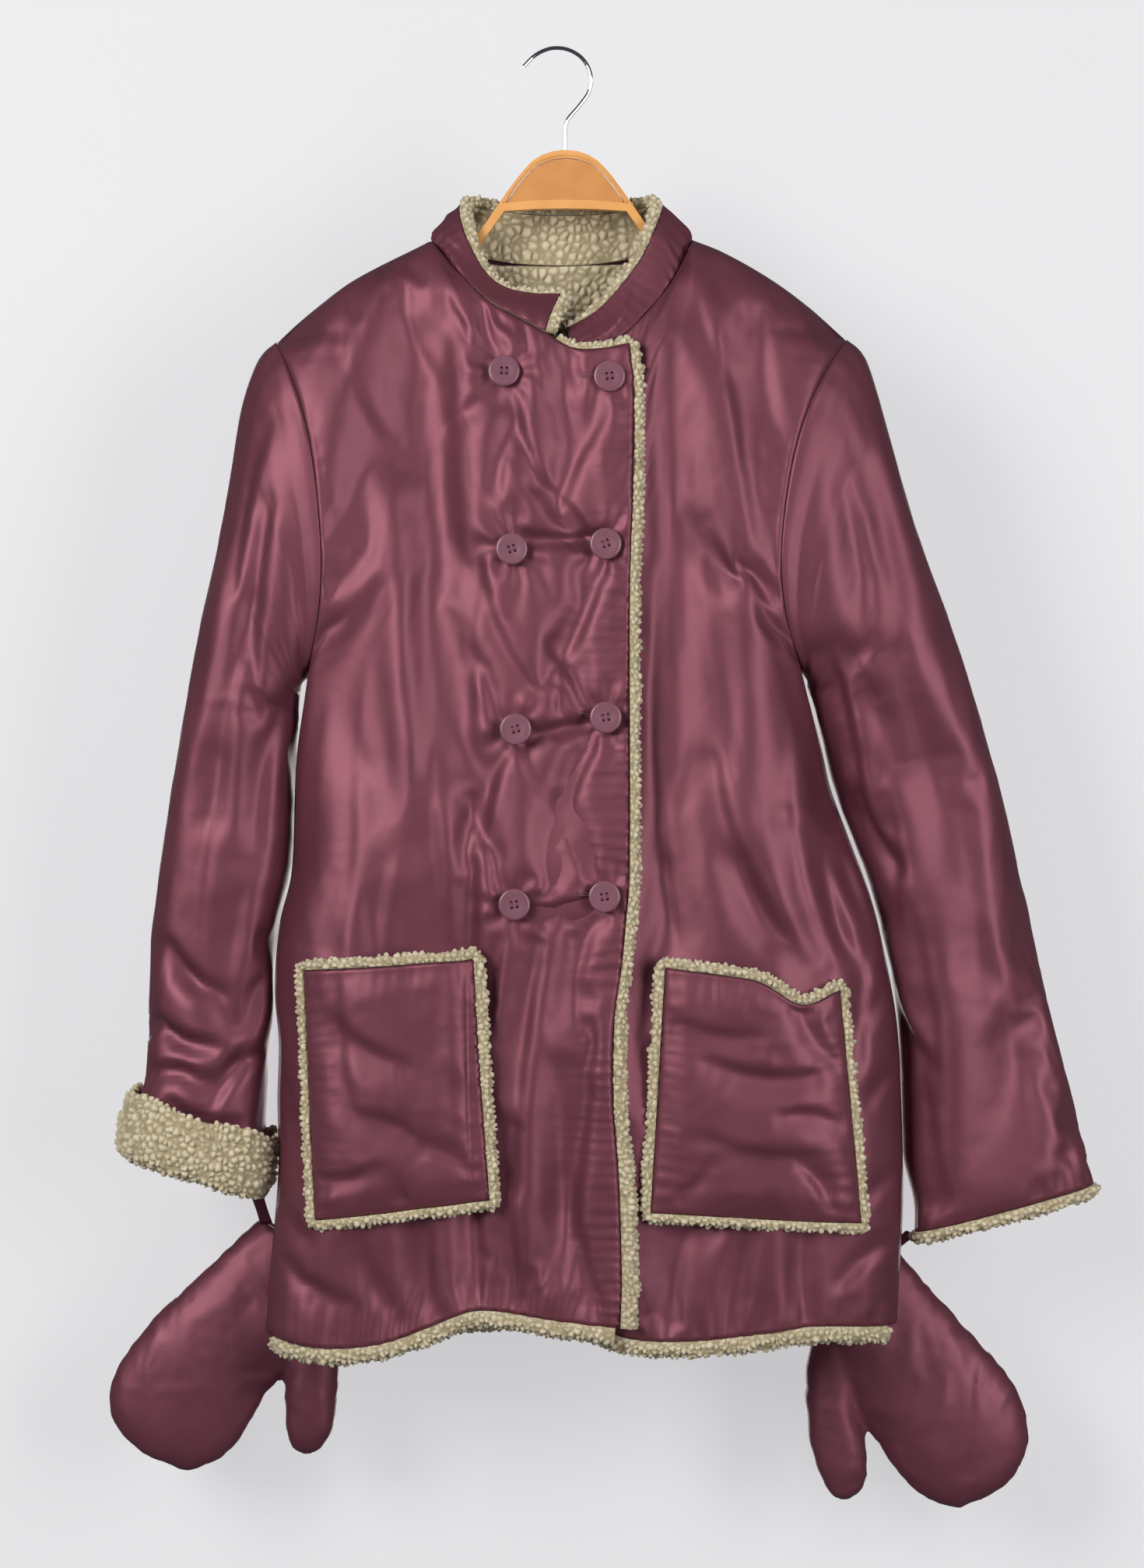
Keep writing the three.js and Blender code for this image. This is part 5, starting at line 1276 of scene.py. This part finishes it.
# %% Edge rolls
ROLL_SECTION = np.array([
    [0.5, -0.36], [1.6, -0.52], [3.0, -0.62], [5.0, -0.6], [6.6, -0.52], [8.0, -0.28], [8.6, 0],
    [8.0, 0.28], [6.6, 0.52], [5.0, 0.6], [3.0, 0.62], [1.6, 0.52], [0.5, 0.36]])
POCKET_SECTION = np.array([
    [0.5, -0.5], [1.6, -0.72], [3.0, -0.85], [5.0, -0.82], [6.4, -0.7], [7.7, -0.4], [8.2, -0.1],
    [7.6, 0.24], [6.4, 0.42], [3.0, 0.5], [0.5, 0.48]])
ROLL_SEAT = 0.5
EDGE_KNOT_MM, EDGE_KNOT_HIGH = 4.6, 4.0


def resample(points, step, loop=False):
    closed = np.concatenate([points, points[:1]]) if loop else points
    middle = closed.mean(axis=1)
    run = np.concatenate([[0], np.cumsum(np.linalg.norm(np.diff(middle, axis=0), axis=1))])
    count = max(int(run[-1] / step), 3)
    wanted = np.linspace(0, run[-1], count + 1)[:-1] if loop else np.linspace(0, run[-1], count)
    both = [[np.interp(wanted, run, closed[:, k, axis]) for axis in range(3)] for k in (0, 1)]
    return np.stack(both).transpose(2, 0, 1)


def make_roll(name, outer, inner, section, turn, replaces, loop=False, scale=None, step=3.0):
    pairs = resample(np.stack([outer, inner], 1), step, loop)
    count = len(pairs)
    middle = pairs.mean(axis=1)
    across = pairs[:, 1] - pairs[:, 0]
    thick = np.linalg.norm(across, axis=1)
    across = unit(across)
    if loop:
        tangent = np.roll(middle, -1, 0) - np.roll(middle, 1, 0)
    else:
        tangent = np.gradient(middle, axis=0)
    out = unit(np.cross(unit(tangent), across)) * turn
    size = np.ones(count) if scale is None else scale(np.linspace(0, 1, count))
    size = size * (1 + 0.07 * lumps(np.arange(count) * step / 17, np.arange(count) * 0 + len(name)))
    grows = section[:, 0] > ROLL_SEAT
    reach = np.where(grows[None], section[None, :, 0] * size[:, None], section[None, :, 0])
    wide = section[None, :, 1] * thick[:, None] * np.where(grows[None], np.sqrt(size)[:, None], 1)
    rings = middle[:, None] + out[:, None] * reach[..., None] + across[:, None] * wide[..., None]
    core = (middle + out * reach.max(1)[:, None] * 0.45)[:, None]
    rings = refine_rows(np.concatenate([rings, core], 1), FINE_PILE_MM, loop)
    rings, core = refine_columns(rings[:, :-1], FINE_PILE_MM), rings[:, -1:]
    free = (smooth_step(np.linspace(0, 1, rings.shape[1]) * 9)
            * smooth_step(np.linspace(1, 0, rings.shape[1]) * 9))
    skin, height = fleece(rings, unit(rings - core) * free[None, :, None], EDGE_KNOT_MM, EDGE_KNOT_HIGH)
    count, sides = skin.shape[:2]
    faces = grid_faces(count + 1 if loop else count, sides, 0, True)
    faces = [list(f) for f in faces % (count * sides)] if loop else [list(f) for f in faces]
    if not loop:
        faces += [list(range(sides))[::-1], list(range((count - 1) * sides, count * sides))]
    return make_piece(f"{name}_pile", skin.reshape(-1, 3), faces, [pile], "pile", replaces, knot=height)


lap = body["front_right"]
cut = int(0.79 * lap["plain"].shape[1])
placket_outer = np.concatenate([lap["plain"][-1, cut:], lap["plain"][::-1, -1][1:]])
placket_inner = np.concatenate([lap["inner"][-1, cut:], lap["inner"][::-1, -1][1:]])
make_roll("placket_edge", placket_outer, placket_inner, ROLL_SECTION, 1, ["placket_edge"],
          scale=lambda t: 1 + 0.6 * smooth_step((t - 0.6) / 0.35))
HEM_SCALE = 1.55
for panel, turn in (("front_right", -1), ("front_left", 1), ("back", 1)):
    first, last = {"front_right": (0.03, 0.99), "front_left": (0.03, 0.8), "back": (0.03, 0.97)}[panel]
    count = body[panel]["plain"].shape[1]
    span = slice(int(first * count), int(last * count))
    make_roll(f"hem_edge_{panel}", body[panel]["plain"][0, span], body[panel]["inner"][0, span],
              ROLL_SECTION, turn,
              [f"hem_edge_{panel}"], scale=lambda t: HEM_SCALE + 0 * t)
collar_front = slice(0, -1)
edge_outer = np.concatenate([collar_plain[collar_front, 0], collar_plain[-1]])
edge_inner = np.concatenate([collar_inside[collar_front, 0], collar_inside[-1]])
make_roll("collar_edge", edge_outer, edge_inner, ROLL_SECTION, -1, ["collar_edge"])
make_roll("cuff_edge_left", sleeves["left"]["plain"][-1], sleeves["left"]["inner"][-1],
          ROLL_SECTION, -1,
          ["cuff_edge_left"], loop=True, scale=lambda t: 1.1 + 0 * t)
for side, grids in pockets.items():
    plain, inner = grids["plain"], grids["inner"]
    rings = [np.concatenate([g[0], g[1:-1, -1], g[-1, ::-1], g[1:-1, 0][::-1]]) for g in (plain, inner)]
    make_roll(f"pocket_edge_{side}", rings[0], rings[1], POCKET_SECTION, -1,
              [f"pocket_edge_{side}"], loop=True)

# %% [markdown]
# ## The turned cuff
# One sleeve is folded back on itself, so a wide band of pile shows. The band is a closed loop of
# one folded section, thinner where the sleeve lies against the body.

# %% Turned cuff
TURNBACK = np.array([
    [3.6, 43], [6.5, 43.6], [9, 42], [10.6, 37.5], [11, 32], [11.6, 23], [11.5, 14], [11, 7], [10, 2],
    [8, -3], [5, -6], [1, -7.8], [-3, -8], [-5.6, -6.8], [-7, -4], [-7, -0.6], [1.2, -0.6]])
rows = SLEEVES["right"]
ring = sleeve_rings({name: value[-1:] for name, value in rows.items()})[0]
higher = sleeve_rings({name: value[-3:-2] for name, value in rows.items()})[0]
edge = unit(np.array([rows["out_x"][-1] - rows["in_x"][-1], 0, rows["out_z"][-1] - rows["in_z"][-1]]))
up_arm = np.array([-edge[2], 0, edge[0]])
up_arm = up_arm if up_arm[2] > 0 else -up_arm
centre = ring.mean(axis=0)
tangent = unit(np.roll(ring, -1, 0) - np.roll(ring, 1, 0))
outward = ring - centre
outward = unit(outward - tangent * np.sum(outward * tangent, -1, keepdims=True))
lie = higher - ring
slant = unit(lie - outward * np.sum(lie * outward, -1, keepdims=True) * 0.5)
share = mix(0.6, 1, (1 + np.cos(np.arange(ARM_SIDES) * 2 * np.pi / ARM_SIDES)) / 2)
reach = np.where(TURNBACK[None, :, 0] > 2, TURNBACK[None, :, 0] * share[:, None], TURNBACK[None, :, 0])
climb = np.where(TURNBACK[None, :, 1, None] > 0, slant[:, None], up_arm[None, None])
wave = 1 + 0.05 * np.sin(np.arange(ARM_SIDES) * 2 * np.pi * 5 / ARM_SIDES)[:, None, None]
rings = ring[:, None] + outward[:, None] * reach[..., None] + climb * TURNBACK[None, :, 1, None] * wave
rings = np.concatenate([rings, rings.mean(axis=1, keepdims=True), ring[:, None]], 1)
rings = refine_rows(rings, FINE_PILE_MM, True)
core, sleeve_line = rings[:, -2:-1], rings[:, -1:]
rings = refine_columns(rings[:, :-2], FINE_PILE_MM, True)
along = np.roll(rings, -1, 0) - np.roll(rings, 1, 0)
round_it = np.roll(rings, -1, 1) - np.roll(rings, 1, 1)
normal = unit(np.cross(along, round_it))
normal *= np.sign(np.sum(normal * (rings - core)))
seat = smooth_step(np.linalg.norm(rings - sleeve_line, axis=-1, keepdims=True) / 9)
skin, height = fleece(rings, normal * seat, 5.4, 4.4)
count, sides = skin.shape[:2]
faces = grid_faces(count + 1, sides, 0, True) % (count * sides)
make_piece("cuff_turnback_right_pile", skin.reshape(-1, 3), faces, [pile], "pile",
           ["cuff_turnback_right"], fill=0.6,
           knot=height)
print("turned cuff", skin.shape[:2])

# %% [markdown]
# ## Mittens on straps
# A padded mitten hangs from each cuff by a short strap. The hand and the thumb are two padded
# lobes. They are joined by remeshing, then blown up a little as cloth, which rounds them and draws
# small puckers as real wadding does. A hollow for the hand is cut last.

# %% Mittens
MITTEN_COLUMNS = ["ax", "az", "bx", "bz", "deep"]
HANDS = {
    "left": [[201, -982, 268, -942, 15], [206, -1012, 300, -978, 19], [215, -1040, 328, -1009, 22],
             [229, -1066, 352, -1035, 23], [243, -1086, 369, -1058, 23], [257, -1105, 377, -1083, 22],
             [272, -1125, 376, -1108, 20], [289, -1142, 363, -1131, 16], [304, -1150, 344, -1145, 10]],
    "right": [[-174, -958, -237, -921, 15], [-180, -1000, -265, -947, 19],
              [-196, -1026, -291, -972, 22], [-214, -1044, -316, -995, 23],
              [-230, -1062, -341, -1023, 23], [-243, -1084, -356, -1052, 22],
              [-256, -1102, -356, -1081, 20], [-270, -1115, -339, -1103, 15],
              [-284, -1121, -318, -1116, 9]],
}
THUMBS = {
    "left": [[206, -1004, 246, -1000, 13], [198, -1035, 246, -1040, 17], [197, -1068, 242, -1074, 18],
             [199, -1098, 246, -1102, 18], [205, -1123, 246, -1124, 16], [214, -1142, 241, -1141, 10]],
    "right": [[-182, -985, -220, -985, 12], [-174, -1015, -216, -1018, 16],
              [-172, -1042, -215, -1044, 17], [-173, -1068, -217, -1068, 17],
              [-177, -1092, -215, -1090, 15], [-185, -1106, -209, -1106, 9]],
}
MITTEN_Y, MITTEN_WALL, MITTEN_ROUND, MITTEN_SIDES = 50.0, 5.0, 0.85, 28
MITTEN_TIP, WRIST_CUT = 6.0, 12.0


def mitten_lobe(rows, inset, reach_back):
    col = table(MITTEN_COLUMNS, rows)
    stations = np.arange(len(rows))
    fine = np.linspace(0, len(rows) - (2 if inset else 1), 5 * len(rows))
    c = {name: curve(stations, value)(fine) for name, value in col.items()}
    middle = np.stack([(c["ax"] + c["bx"]) / 2, MITTEN_Y + 0 * c["ax"], (c["az"] + c["bz"]) / 2], -1)
    half = np.stack([(c["ax"] - c["bx"]) / 2, 0 * c["ax"], (c["az"] - c["bz"]) / 2], -1)
    wide = np.maximum(np.linalg.norm(half, axis=1) - inset, 1.5)
    deep = np.maximum(c["deep"] - inset, 1.5)
    half = unit(half)
    middle[0] += unit(middle[0] - middle[1]) * reach_back
    if not inset:
        middle = np.concatenate([middle, [middle[-1] + unit(middle[-1] - middle[-3]) * MITTEN_TIP]])
        wide, deep, half = np.append(wide, 4.0), np.append(deep, 2.0), np.concatenate([half, half[-1:]])
    angle = np.arange(MITTEN_SIDES) * 2 * np.pi / MITTEN_SIDES
    cos = np.sign(np.cos(angle)) * np.abs(np.cos(angle)) ** MITTEN_ROUND
    sin = np.sign(np.sin(angle)) * np.abs(np.sin(angle)) ** MITTEN_ROUND
    rings = middle[:, None] + half[:, None] * (wide[:, None] * cos)[..., None]
    rings[..., 1] += deep[:, None] * sin
    count = len(rings)
    faces = [list(f) for f in grid_faces(count, MITTEN_SIDES, 0, True)]
    last_ring = list(range((count - 1) * MITTEN_SIDES, count * MITTEN_SIDES))
    faces += [list(range(MITTEN_SIDES))[::-1], last_ring]
    return rings.reshape(-1, 3), faces


def joined_lobes(name, side, inset, reach_back):
    hand, hand_faces = mitten_lobe(HANDS[side], inset, reach_back)
    thumb, thumb_faces = mitten_lobe(THUMBS[side], inset, 0.0)
    faces = hand_faces + [[i + len(hand) for i in face] for face in thumb_faces]
    mesh = bpy.data.meshes.new(name)
    mesh.from_pydata((np.concatenate([hand, thumb]) * MM).tolist(), [], faces)
    bm = bmesh.new()
    bm.from_mesh(mesh)
    bmesh.ops.recalc_face_normals(bm, faces=bm.faces)
    bm.to_mesh(mesh)
    bm.free()
    piece = bpy.data.objects.new(name, mesh)
    bpy.context.scene.collection.objects.link(piece)
    remesh = piece.modifiers.new("remesh", "REMESH")
    remesh.mode, remesh.voxel_size = "VOXEL", 3.4 * MM
    apply_modifiers(piece)
    return piece


def set_points(piece, points):
    piece.data.vertices.foreach_set("co", points.reshape(-1))
    piece.data.update()


def puff(piece, pressure, cap_mm, frames=14):
    start = points_of(piece)
    moved = run_cloth(piece, frames, pressure=pressure, bending=4.0)
    far = np.linalg.norm(moved, axis=1, keepdims=True)
    moved *= np.minimum(1, cap_mm / np.maximum(far, 1e-6))
    set_points(piece, start + moved * MM)
    return float(far.max())


def pucker_seam(piece):
    p = points_of(piece) / MM
    normal = np.empty(len(p) * 3)
    piece.data.vertices.foreach_get("normal", normal)
    near = np.exp(-np.abs(p[:, 1] - MITTEN_Y) / 8)
    wave = lumps(p[:, 0] / 7 + 3, p[:, 2] / 7 + 8) * near * 2.2
    wave = 0.6 * wave + 1.4 * (creases(p[:, 0] / 22, p[:, 2] / 30 + 4) - 0.45) * (1 - 0.6 * near)
    seam = -1.6 * np.exp(-((p[:, 1] - MITTEN_Y) / 2.6) ** 2)
    set_points(piece, (p + normal.reshape(-1, 3) * (wave * -1 + seam)[:, None]) * MM)


for side in ("right", "left"):
    mitten = joined_lobes(f"mitten_{side}_shell", side, 0.0, 0.0)
    print("mitten", side, "moved up to", round(puff(mitten, 3.0, 3.0), 1), "mm")
    pucker_seam(mitten)
    hollow = joined_lobes(f"hollow_{side}", side, MITTEN_WALL, WRIST_CUT)
    hollow.data.materials.append(pile)
    mitten.data.materials.append(nylon)
    mitten.data.materials.append(pile)
    cut = mitten.modifiers.new("hollow", "BOOLEAN")
    cut.operation, cut.object, cut.solver, cut.material_mode = "DIFFERENCE", hollow, "EXACT", "TRANSFER"
    apply_modifiers(mitten)
    bpy.data.objects.remove(hollow)
    mitten.data.polygons.foreach_set("use_smooth", np.ones(len(mitten.data.polygons), dtype=bool))
    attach(mitten, "root")
    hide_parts(f"mitten_{side}")
    print("mitten", side, len(mitten.data.polygons), "faces")

# %% [markdown]
# ## Buttons
# A moulded coat button is a flat disc with a rounded shoulder, a slight well in the middle and
# four holes. The shoulder is what catches the light. It is turned as a profile, and the holes are
# drilled through, with two bars of thread sunk between them.

# %% Buttons
BUTTON_LIFT, DRILL_LONG = 0.6, 8.0
HOLE_AT, HOLE_RADIUS = 2.0, 1.15
PROFILE = [(0.0, 2.9), (4.4, 2.92), (5.2, 3.1), (8.6, 3.35), (10.4, 3.4), (11.3, 3.25), (11.9, 2.8),
           (12.2, 2.0), (12.1, 1.1), (11.4, 0.3), (9.8, 0.0), (0.0, 0.0)]


def frame_at(x, z):
    step = 3.0
    rows = FOLDS["front_right"][:3]
    spots = np.array([[x, z], [x + step, z], [x - step, z], [x, z + step], [x, z - step]], float)
    relief = fold_relief(rows, spots[:, 0], spots[:, 1], 1.0)
    p = body_point("front_right", spots[:, 0], spots[:, 1], relief)
    normal = unit(np.cross(p[1] - p[2], p[3] - p[4]))
    normal = normal if normal[1] < 0 else -normal
    side = unit(np.cross(np.array([0, 0, 1.0]), normal))
    return p[0], np.stack([-side, np.cross(normal, -side), normal], 1)


def button_mesh():
    bm = bmesh.new()
    sides = 56
    rings = []
    for radius, height in PROFILE[1:-1]:
        rings.append([bm.verts.new((radius * math.cos(a), radius * math.sin(a), height))
                      for a in np.arange(sides) * 2 * math.pi / sides])
    for low, high in zip(rings, rings[1:]):
        for k in range(sides):
            bm.faces.new((low[k], low[(k + 1) % sides], high[(k + 1) % sides], high[k]))
    bm.faces.new(rings[0][::-1])
    bm.faces.new(rings[-1])
    bmesh.ops.recalc_face_normals(bm, faces=bm.faces)
    mesh = bpy.data.meshes.new("button")
    bm.to_mesh(mesh)
    bm.free()
    return mesh


def drill(piece):
    bm = bmesh.new()
    for x, y in ((-1, -1), (1, -1), (1, 1), (-1, 1)):
        made = bmesh.ops.create_cone(bm, cap_ends=True, segments=14, radius1=HOLE_RADIUS * MM,
                                     radius2=HOLE_RADIUS * MM, depth=DRILL_LONG * MM)
        bmesh.ops.translate(bm, verts=made["verts"], vec=Vector((x * HOLE_AT, y * HOLE_AT, 1.5)) * MM)
    mesh = bpy.data.meshes.new("drill")
    bm.to_mesh(mesh)
    bm.free()
    tool = bpy.data.objects.new("drill", mesh)
    bpy.context.scene.collection.objects.link(tool)
    cut = piece.modifiers.new("holes", "BOOLEAN")
    cut.operation, cut.object, cut.solver = "DIFFERENCE", tool, "EXACT"
    apply_modifiers(piece)
    bpy.data.objects.remove(tool)


master = bpy.data.objects.new("button_master", button_mesh())
bpy.context.scene.collection.objects.link(master)
master.data.transform(Matrix.Scale(MM, 4))
drill(master)
button_points = points_of(master) / MM
button_faces = [list(p.vertices) for p in master.data.polygons]
bpy.data.objects.remove(master)


def tube(path, radius, sides=8):
    path = np.asarray(path, float)
    tangent = unit(np.gradient(path, axis=0))
    helper = np.where(np.abs(tangent[:, 2:]) > 0.9, [[1.0, 0, 0]], [[0, 0, 1.0]])
    a = unit(np.cross(tangent, helper))
    b = np.cross(tangent, a)
    angle = np.arange(sides) * 2 * np.pi / sides
    cos, sin = np.cos(angle)[None, :, None], np.sin(angle)[None, :, None]
    rings = path[:, None] + radius * (cos * a[:, None] + sin * b[:, None])
    count = len(path)
    faces = [list(f) for f in grid_faces(count, sides, 0, True)]
    faces += [list(range(sides))[::-1], list(range((count - 1) * sides, count * sides))]
    return rings.reshape(-1, 3), faces


def merged(parts):
    points, faces, start = [], [], 0
    for p, f in parts:
        points.append(p)
        faces += [[i + start for i in face] for face in f]
        start += len(p)
    return np.concatenate(points), faces


for number, (x, z, lean) in enumerate(BUTTONS, 1):
    seat, basis = frame_at(x, z)
    turn = math.radians(rng.uniform(-25, 25))
    cos, sin = math.cos(turn), math.sin(turn)
    spin = np.array([[cos, -sin, 0], [sin, cos, 0], [0, 0, 1]])
    place = seat + basis[:, 2] * BUTTON_LIFT
    points = place + (button_points @ spin.T) @ basis.T
    piece = make_piece(f"button_{number}_disc", points, button_faces, [urea], "buttons",
                       [f"button_{number}"])
    piece.data.polygons.foreach_set("use_smooth", [len(p.vertices) <= 4 for p in piece.data.polygons])
    stitches = []
    for row in (-1, 1):
        s = np.linspace(0, 1, 11)
        lift = 1.2 + 1.9 * np.sin(np.pi * s) ** 0.5
        local = np.stack([row * HOLE_AT * 0.94 + 0 * s, mix(-1, 1, s) * HOLE_AT, lift], -1)
        stitches.append(tube(place + (local @ spin.T) @ basis.T, 0.5, 8))
    make_piece(f"button_{number}_thread", *merged(stitches), [thread], "nylon_shell")
print("buttons:", len(BUTTONS))

# %% [markdown]
# The lap's own column of buttons goes through bound buttonholes. Only the end of each shows, beside
# its button, as a short slit between two ridges of close stitches.

# %% Buttonholes
HOLE_FROM, HOLE_LONG = 11.0, 9.5
shell = body["front_right"]["outer"].reshape(-1, 3)
for number, (x, z, lean) in enumerate(BUTTONS, 1):
    if x < 0:
        continue
    s = np.linspace(0, 1, 13)
    ridges = []
    for rise in (-1, 1):
        path_x = x - HOLE_FROM - HOLE_LONG * s
        path_z = z - math.tan(math.radians(lean)) * (path_x - x) * 0.6
        path_z = path_z + rise * (0.5 + 0.5 * np.sin(np.pi * s))
        near = [np.argmin((shell[:, 0] - a) ** 2 + (shell[:, 2] - b) ** 2)
                for a, b in zip(path_x, path_z)]
        path_y = np.convolve(np.pad(shell[near, 1], 2, mode="edge"), np.ones(5) / 5, "valid") - 0.35
        ridges.append(tube(np.stack([path_x, path_y, path_z], -1), 0.55, 8))
    make_piece(f"buttonhole_{number}_stitches", *merged(ridges), [thread], "nylon_shell")
print("buttonholes:", sum(x > 0 for x, _, _ in BUTTONS))

# %% [markdown]
# ## Straps
# A short folded band of the shell cloth joins each mitten to its cuff.

# %% Straps
STRAPS = {"right": ((-236, 16, -901), (-231, 39, -925)), "left": ((280, 22, -931), (264, 39, -947))}
STRAP_WIDE, STRAP_THICK = 10.0, 2.0
for side, (top_end, foot_end) in STRAPS.items():
    top_end, foot_end = np.array(top_end, float), np.array(foot_end, float)
    along = unit(foot_end - top_end)
    wide = unit(np.array([1.0, 0, 0]) - along * along[0]) * STRAP_WIDE / 2
    thick = unit(np.cross(along, wide)) * STRAP_THICK / 2
    angle = np.arange(20) * 2 * np.pi / 20
    cos = np.sign(np.cos(angle)) * np.abs(np.cos(angle)) ** 0.35
    sin = np.sign(np.sin(angle)) * np.abs(np.sin(angle)) ** 0.7
    s = np.linspace(0, 1, 9)
    middle = mix(top_end[None], foot_end[None], s[:, None])
    narrow = (1 - 0.08 * np.sin(np.pi * s))[:, None, None]
    rings = middle[:, None] + (wide * cos[:, None] + thick * sin[:, None])[None] * narrow
    faces = [list(f) for f in grid_faces(9, 20, 0, True)]
    faces += [list(range(20))[::-1], list(range(160, 180))]
    make_piece(f"mitten_strap_{side}_band", rings.reshape(-1, 3), faces, [nylon], "nylon_shell",
               [f"mitten_strap_{side}"], fill=0.3)
print("straps:", len(STRAPS))

# %% [markdown]
# ## Hanger and hook
# The hanger is one moulding with a thin panel in its arch. Its solid already has the right
# outline, so it is kept and only takes its finish. The thin bead that follows the arch is too fine
# for the solid, so it is laid on as a round strip, half sunk in the face.

# %% Hanger
for name, material in (("hanger_body", abs_frame), ("hanger_panel", abs_panel), ("hanger_hook", steel)):
    solid = frame["nodes"][name]
    for slot in solid.material_slots:
        slot.material = material

HANGER_MID_X, HANGER_FACE_Y = 7.0, -4.0
BEAD_RADIUS, BEAD_OUT, ARCH_MIDDLE_Z = 0.9, 1.9, -118.0
ARCH = table(["half", "z"], [
    [0, -85], [11, -86.6], [21, -90.5], [28, -95.5], [35, -103.5], [41.5, -112.5], [46.5, -120.5]])
half = np.concatenate([-ARCH["half"][:0:-1], ARCH["half"]])
high = np.concatenate([ARCH["z"][:0:-1], ARCH["z"]])
outward = unit(np.stack([half, high - ARCH_MIDDLE_Z], -1)) * BEAD_OUT
knots_along = np.arange(len(half))
fine = np.linspace(0, len(half) - 1, 90)
arch_x = curve(knots_along, HANGER_MID_X + half + outward[:, 0])(fine)
arch_z = curve(knots_along, high + outward[:, 1])(fine)
arch = np.stack([arch_x, np.full_like(arch_x, HANGER_FACE_Y), arch_z], -1)
make_piece("hanger_bead_moulding", *tube(arch, BEAD_RADIUS, 10), [abs_frame], "hanger_frame")
bead_long = np.sum(np.linalg.norm(np.diff(arch, axis=0), axis=1))
print("hanger dressed, bead", round(float(bead_long)), "mm long")

# %% [markdown]
# ## The room
# The jacket hangs close to a pale wall, under broad soft light from both sides and a little more
# from the left. The wall only receives light. It is left out of shadows and reflections, and its
# back side is clear, so the back of the jacket stays lit and in sight.

# %% Room and light
def make_paint(name, text, lit, glow):
    material, tree = new_material(name)
    place = node(tree, "ShaderNodeTexCoord").outputs["Object"]
    cloud = node(tree, "ShaderNodeTexNoise", values={"Scale": 1.5}, links={"Vector": place})
    tint = node(tree, "ShaderNodeValToRGB", links={"Fac": cloud.outputs["Fac"]})
    tint.color_ramp.elements[0].color, tint.color_ramp.elements[1].color = linear(lit), linear(text)
    shader = node(tree, "ShaderNodeBsdfPrincipled",
                  values={"Roughness": 0.9, "Emission Color": linear(text), "Emission Strength": glow},
                  links={"Base Color": tint.outputs["Color"]})
    clear = node(tree, "ShaderNodeBsdfTransparent")
    side = node(tree, "ShaderNodeNewGeometry")
    both = node(tree, "ShaderNodeMixShader", links={"Fac": side.outputs["Backfacing"]})
    tree.links.new(shader.outputs[0], both.inputs[1])
    tree.links.new(clear.outputs[0], both.inputs[2])
    finish_material(tree, both)
    return material


def stage_plane(name, corners, material):
    mesh = bpy.data.meshes.new(name)
    mesh.from_pydata([tuple(np.array(c) * MM) for c in corners], [], [(0, 1, 2, 3)])
    mesh.materials.append(material)
    piece = bpy.data.objects.new(name, mesh)
    bpy.context.scene.collection.objects.link(piece)
    return piece


WALL_Y, WALL_HALF, WALL_TOP = 150.0, 4000.0, 2500.0
ROOM, ROOM_TOP = 4500.0, 3500.0
WALL_FOOT, FLOOR_Z = -2200.0, -1900.0
wall_paint = make_paint("matt_wall_paint", "#8d8d8f", "#89898b", 1.98)


def upright(a, b, top):
    return [(*a, WALL_FOOT), (*b, WALL_FOOT), (*b, top), (*a, top)]


wall = stage_plane("wall", upright((-WALL_HALF, WALL_Y), (WALL_HALF, WALL_Y), WALL_TOP), wall_paint)
floor = stage_plane("floor", [(-ROOM, -ROOM, FLOOR_Z), (ROOM, -ROOM, FLOOR_Z), (ROOM, ROOM, FLOOR_Z),
                              (-ROOM, ROOM, FLOOR_Z)], wall_paint)
far_front = stage_plane("wall_front", upright((ROOM, -ROOM), (-ROOM, -ROOM), ROOM_TOP), wall_paint)
far_left = stage_plane("wall_left", upright((-ROOM, -ROOM), (-ROOM, ROOM), ROOM_TOP), wall_paint)
far_right = stage_plane("wall_right", upright((ROOM, ROOM), (ROOM, -ROOM), ROOM_TOP), wall_paint)
for piece in (wall, floor, far_front, far_left, far_right):
    piece.visible_shadow = False
    piece.visible_diffuse = False
    piece.visible_glossy = False


def area_light(name, at, towards, size, watts, tint):
    data = bpy.data.lights.new(name, "AREA")
    data.shape, data.size, data.size_y = "RECTANGLE", size[0], size[1]
    data.energy, data.color = watts, linear(tint)[:3]
    light = bpy.data.objects.new(name, data)
    bpy.context.scene.collection.objects.link(light)
    light.location = at
    light.rotation_euler = (Vector(towards) - Vector(at)).to_track_quat("-Z", "Y").to_euler()
    return light


MIDDLE = (0.0, 0.0, -0.58)
area_light("key", (-1.7, -2.2, 0.35), MIDDLE, (1.1, 1.5), 70, "#fffdf8")
area_light("fill", (1.9, -2.2, -0.3), MIDDLE, (1.0, 2.0), 50, "#fffdfa")
area_light("back_fill", (0.0, 2.6, -0.8), MIDDLE, (2.4, 2.4), 62, "#ffffff")
world = bpy.data.worlds.new("room")
world.use_nodes = True
world.node_tree.nodes["Background"].inputs["Color"].default_value = linear("#f2f5f8")
world.node_tree.nodes["Background"].inputs["Strength"].default_value = 0.16
bpy.context.scene.world = world
bpy.context.scene.view_settings.view_transform = "Standard"
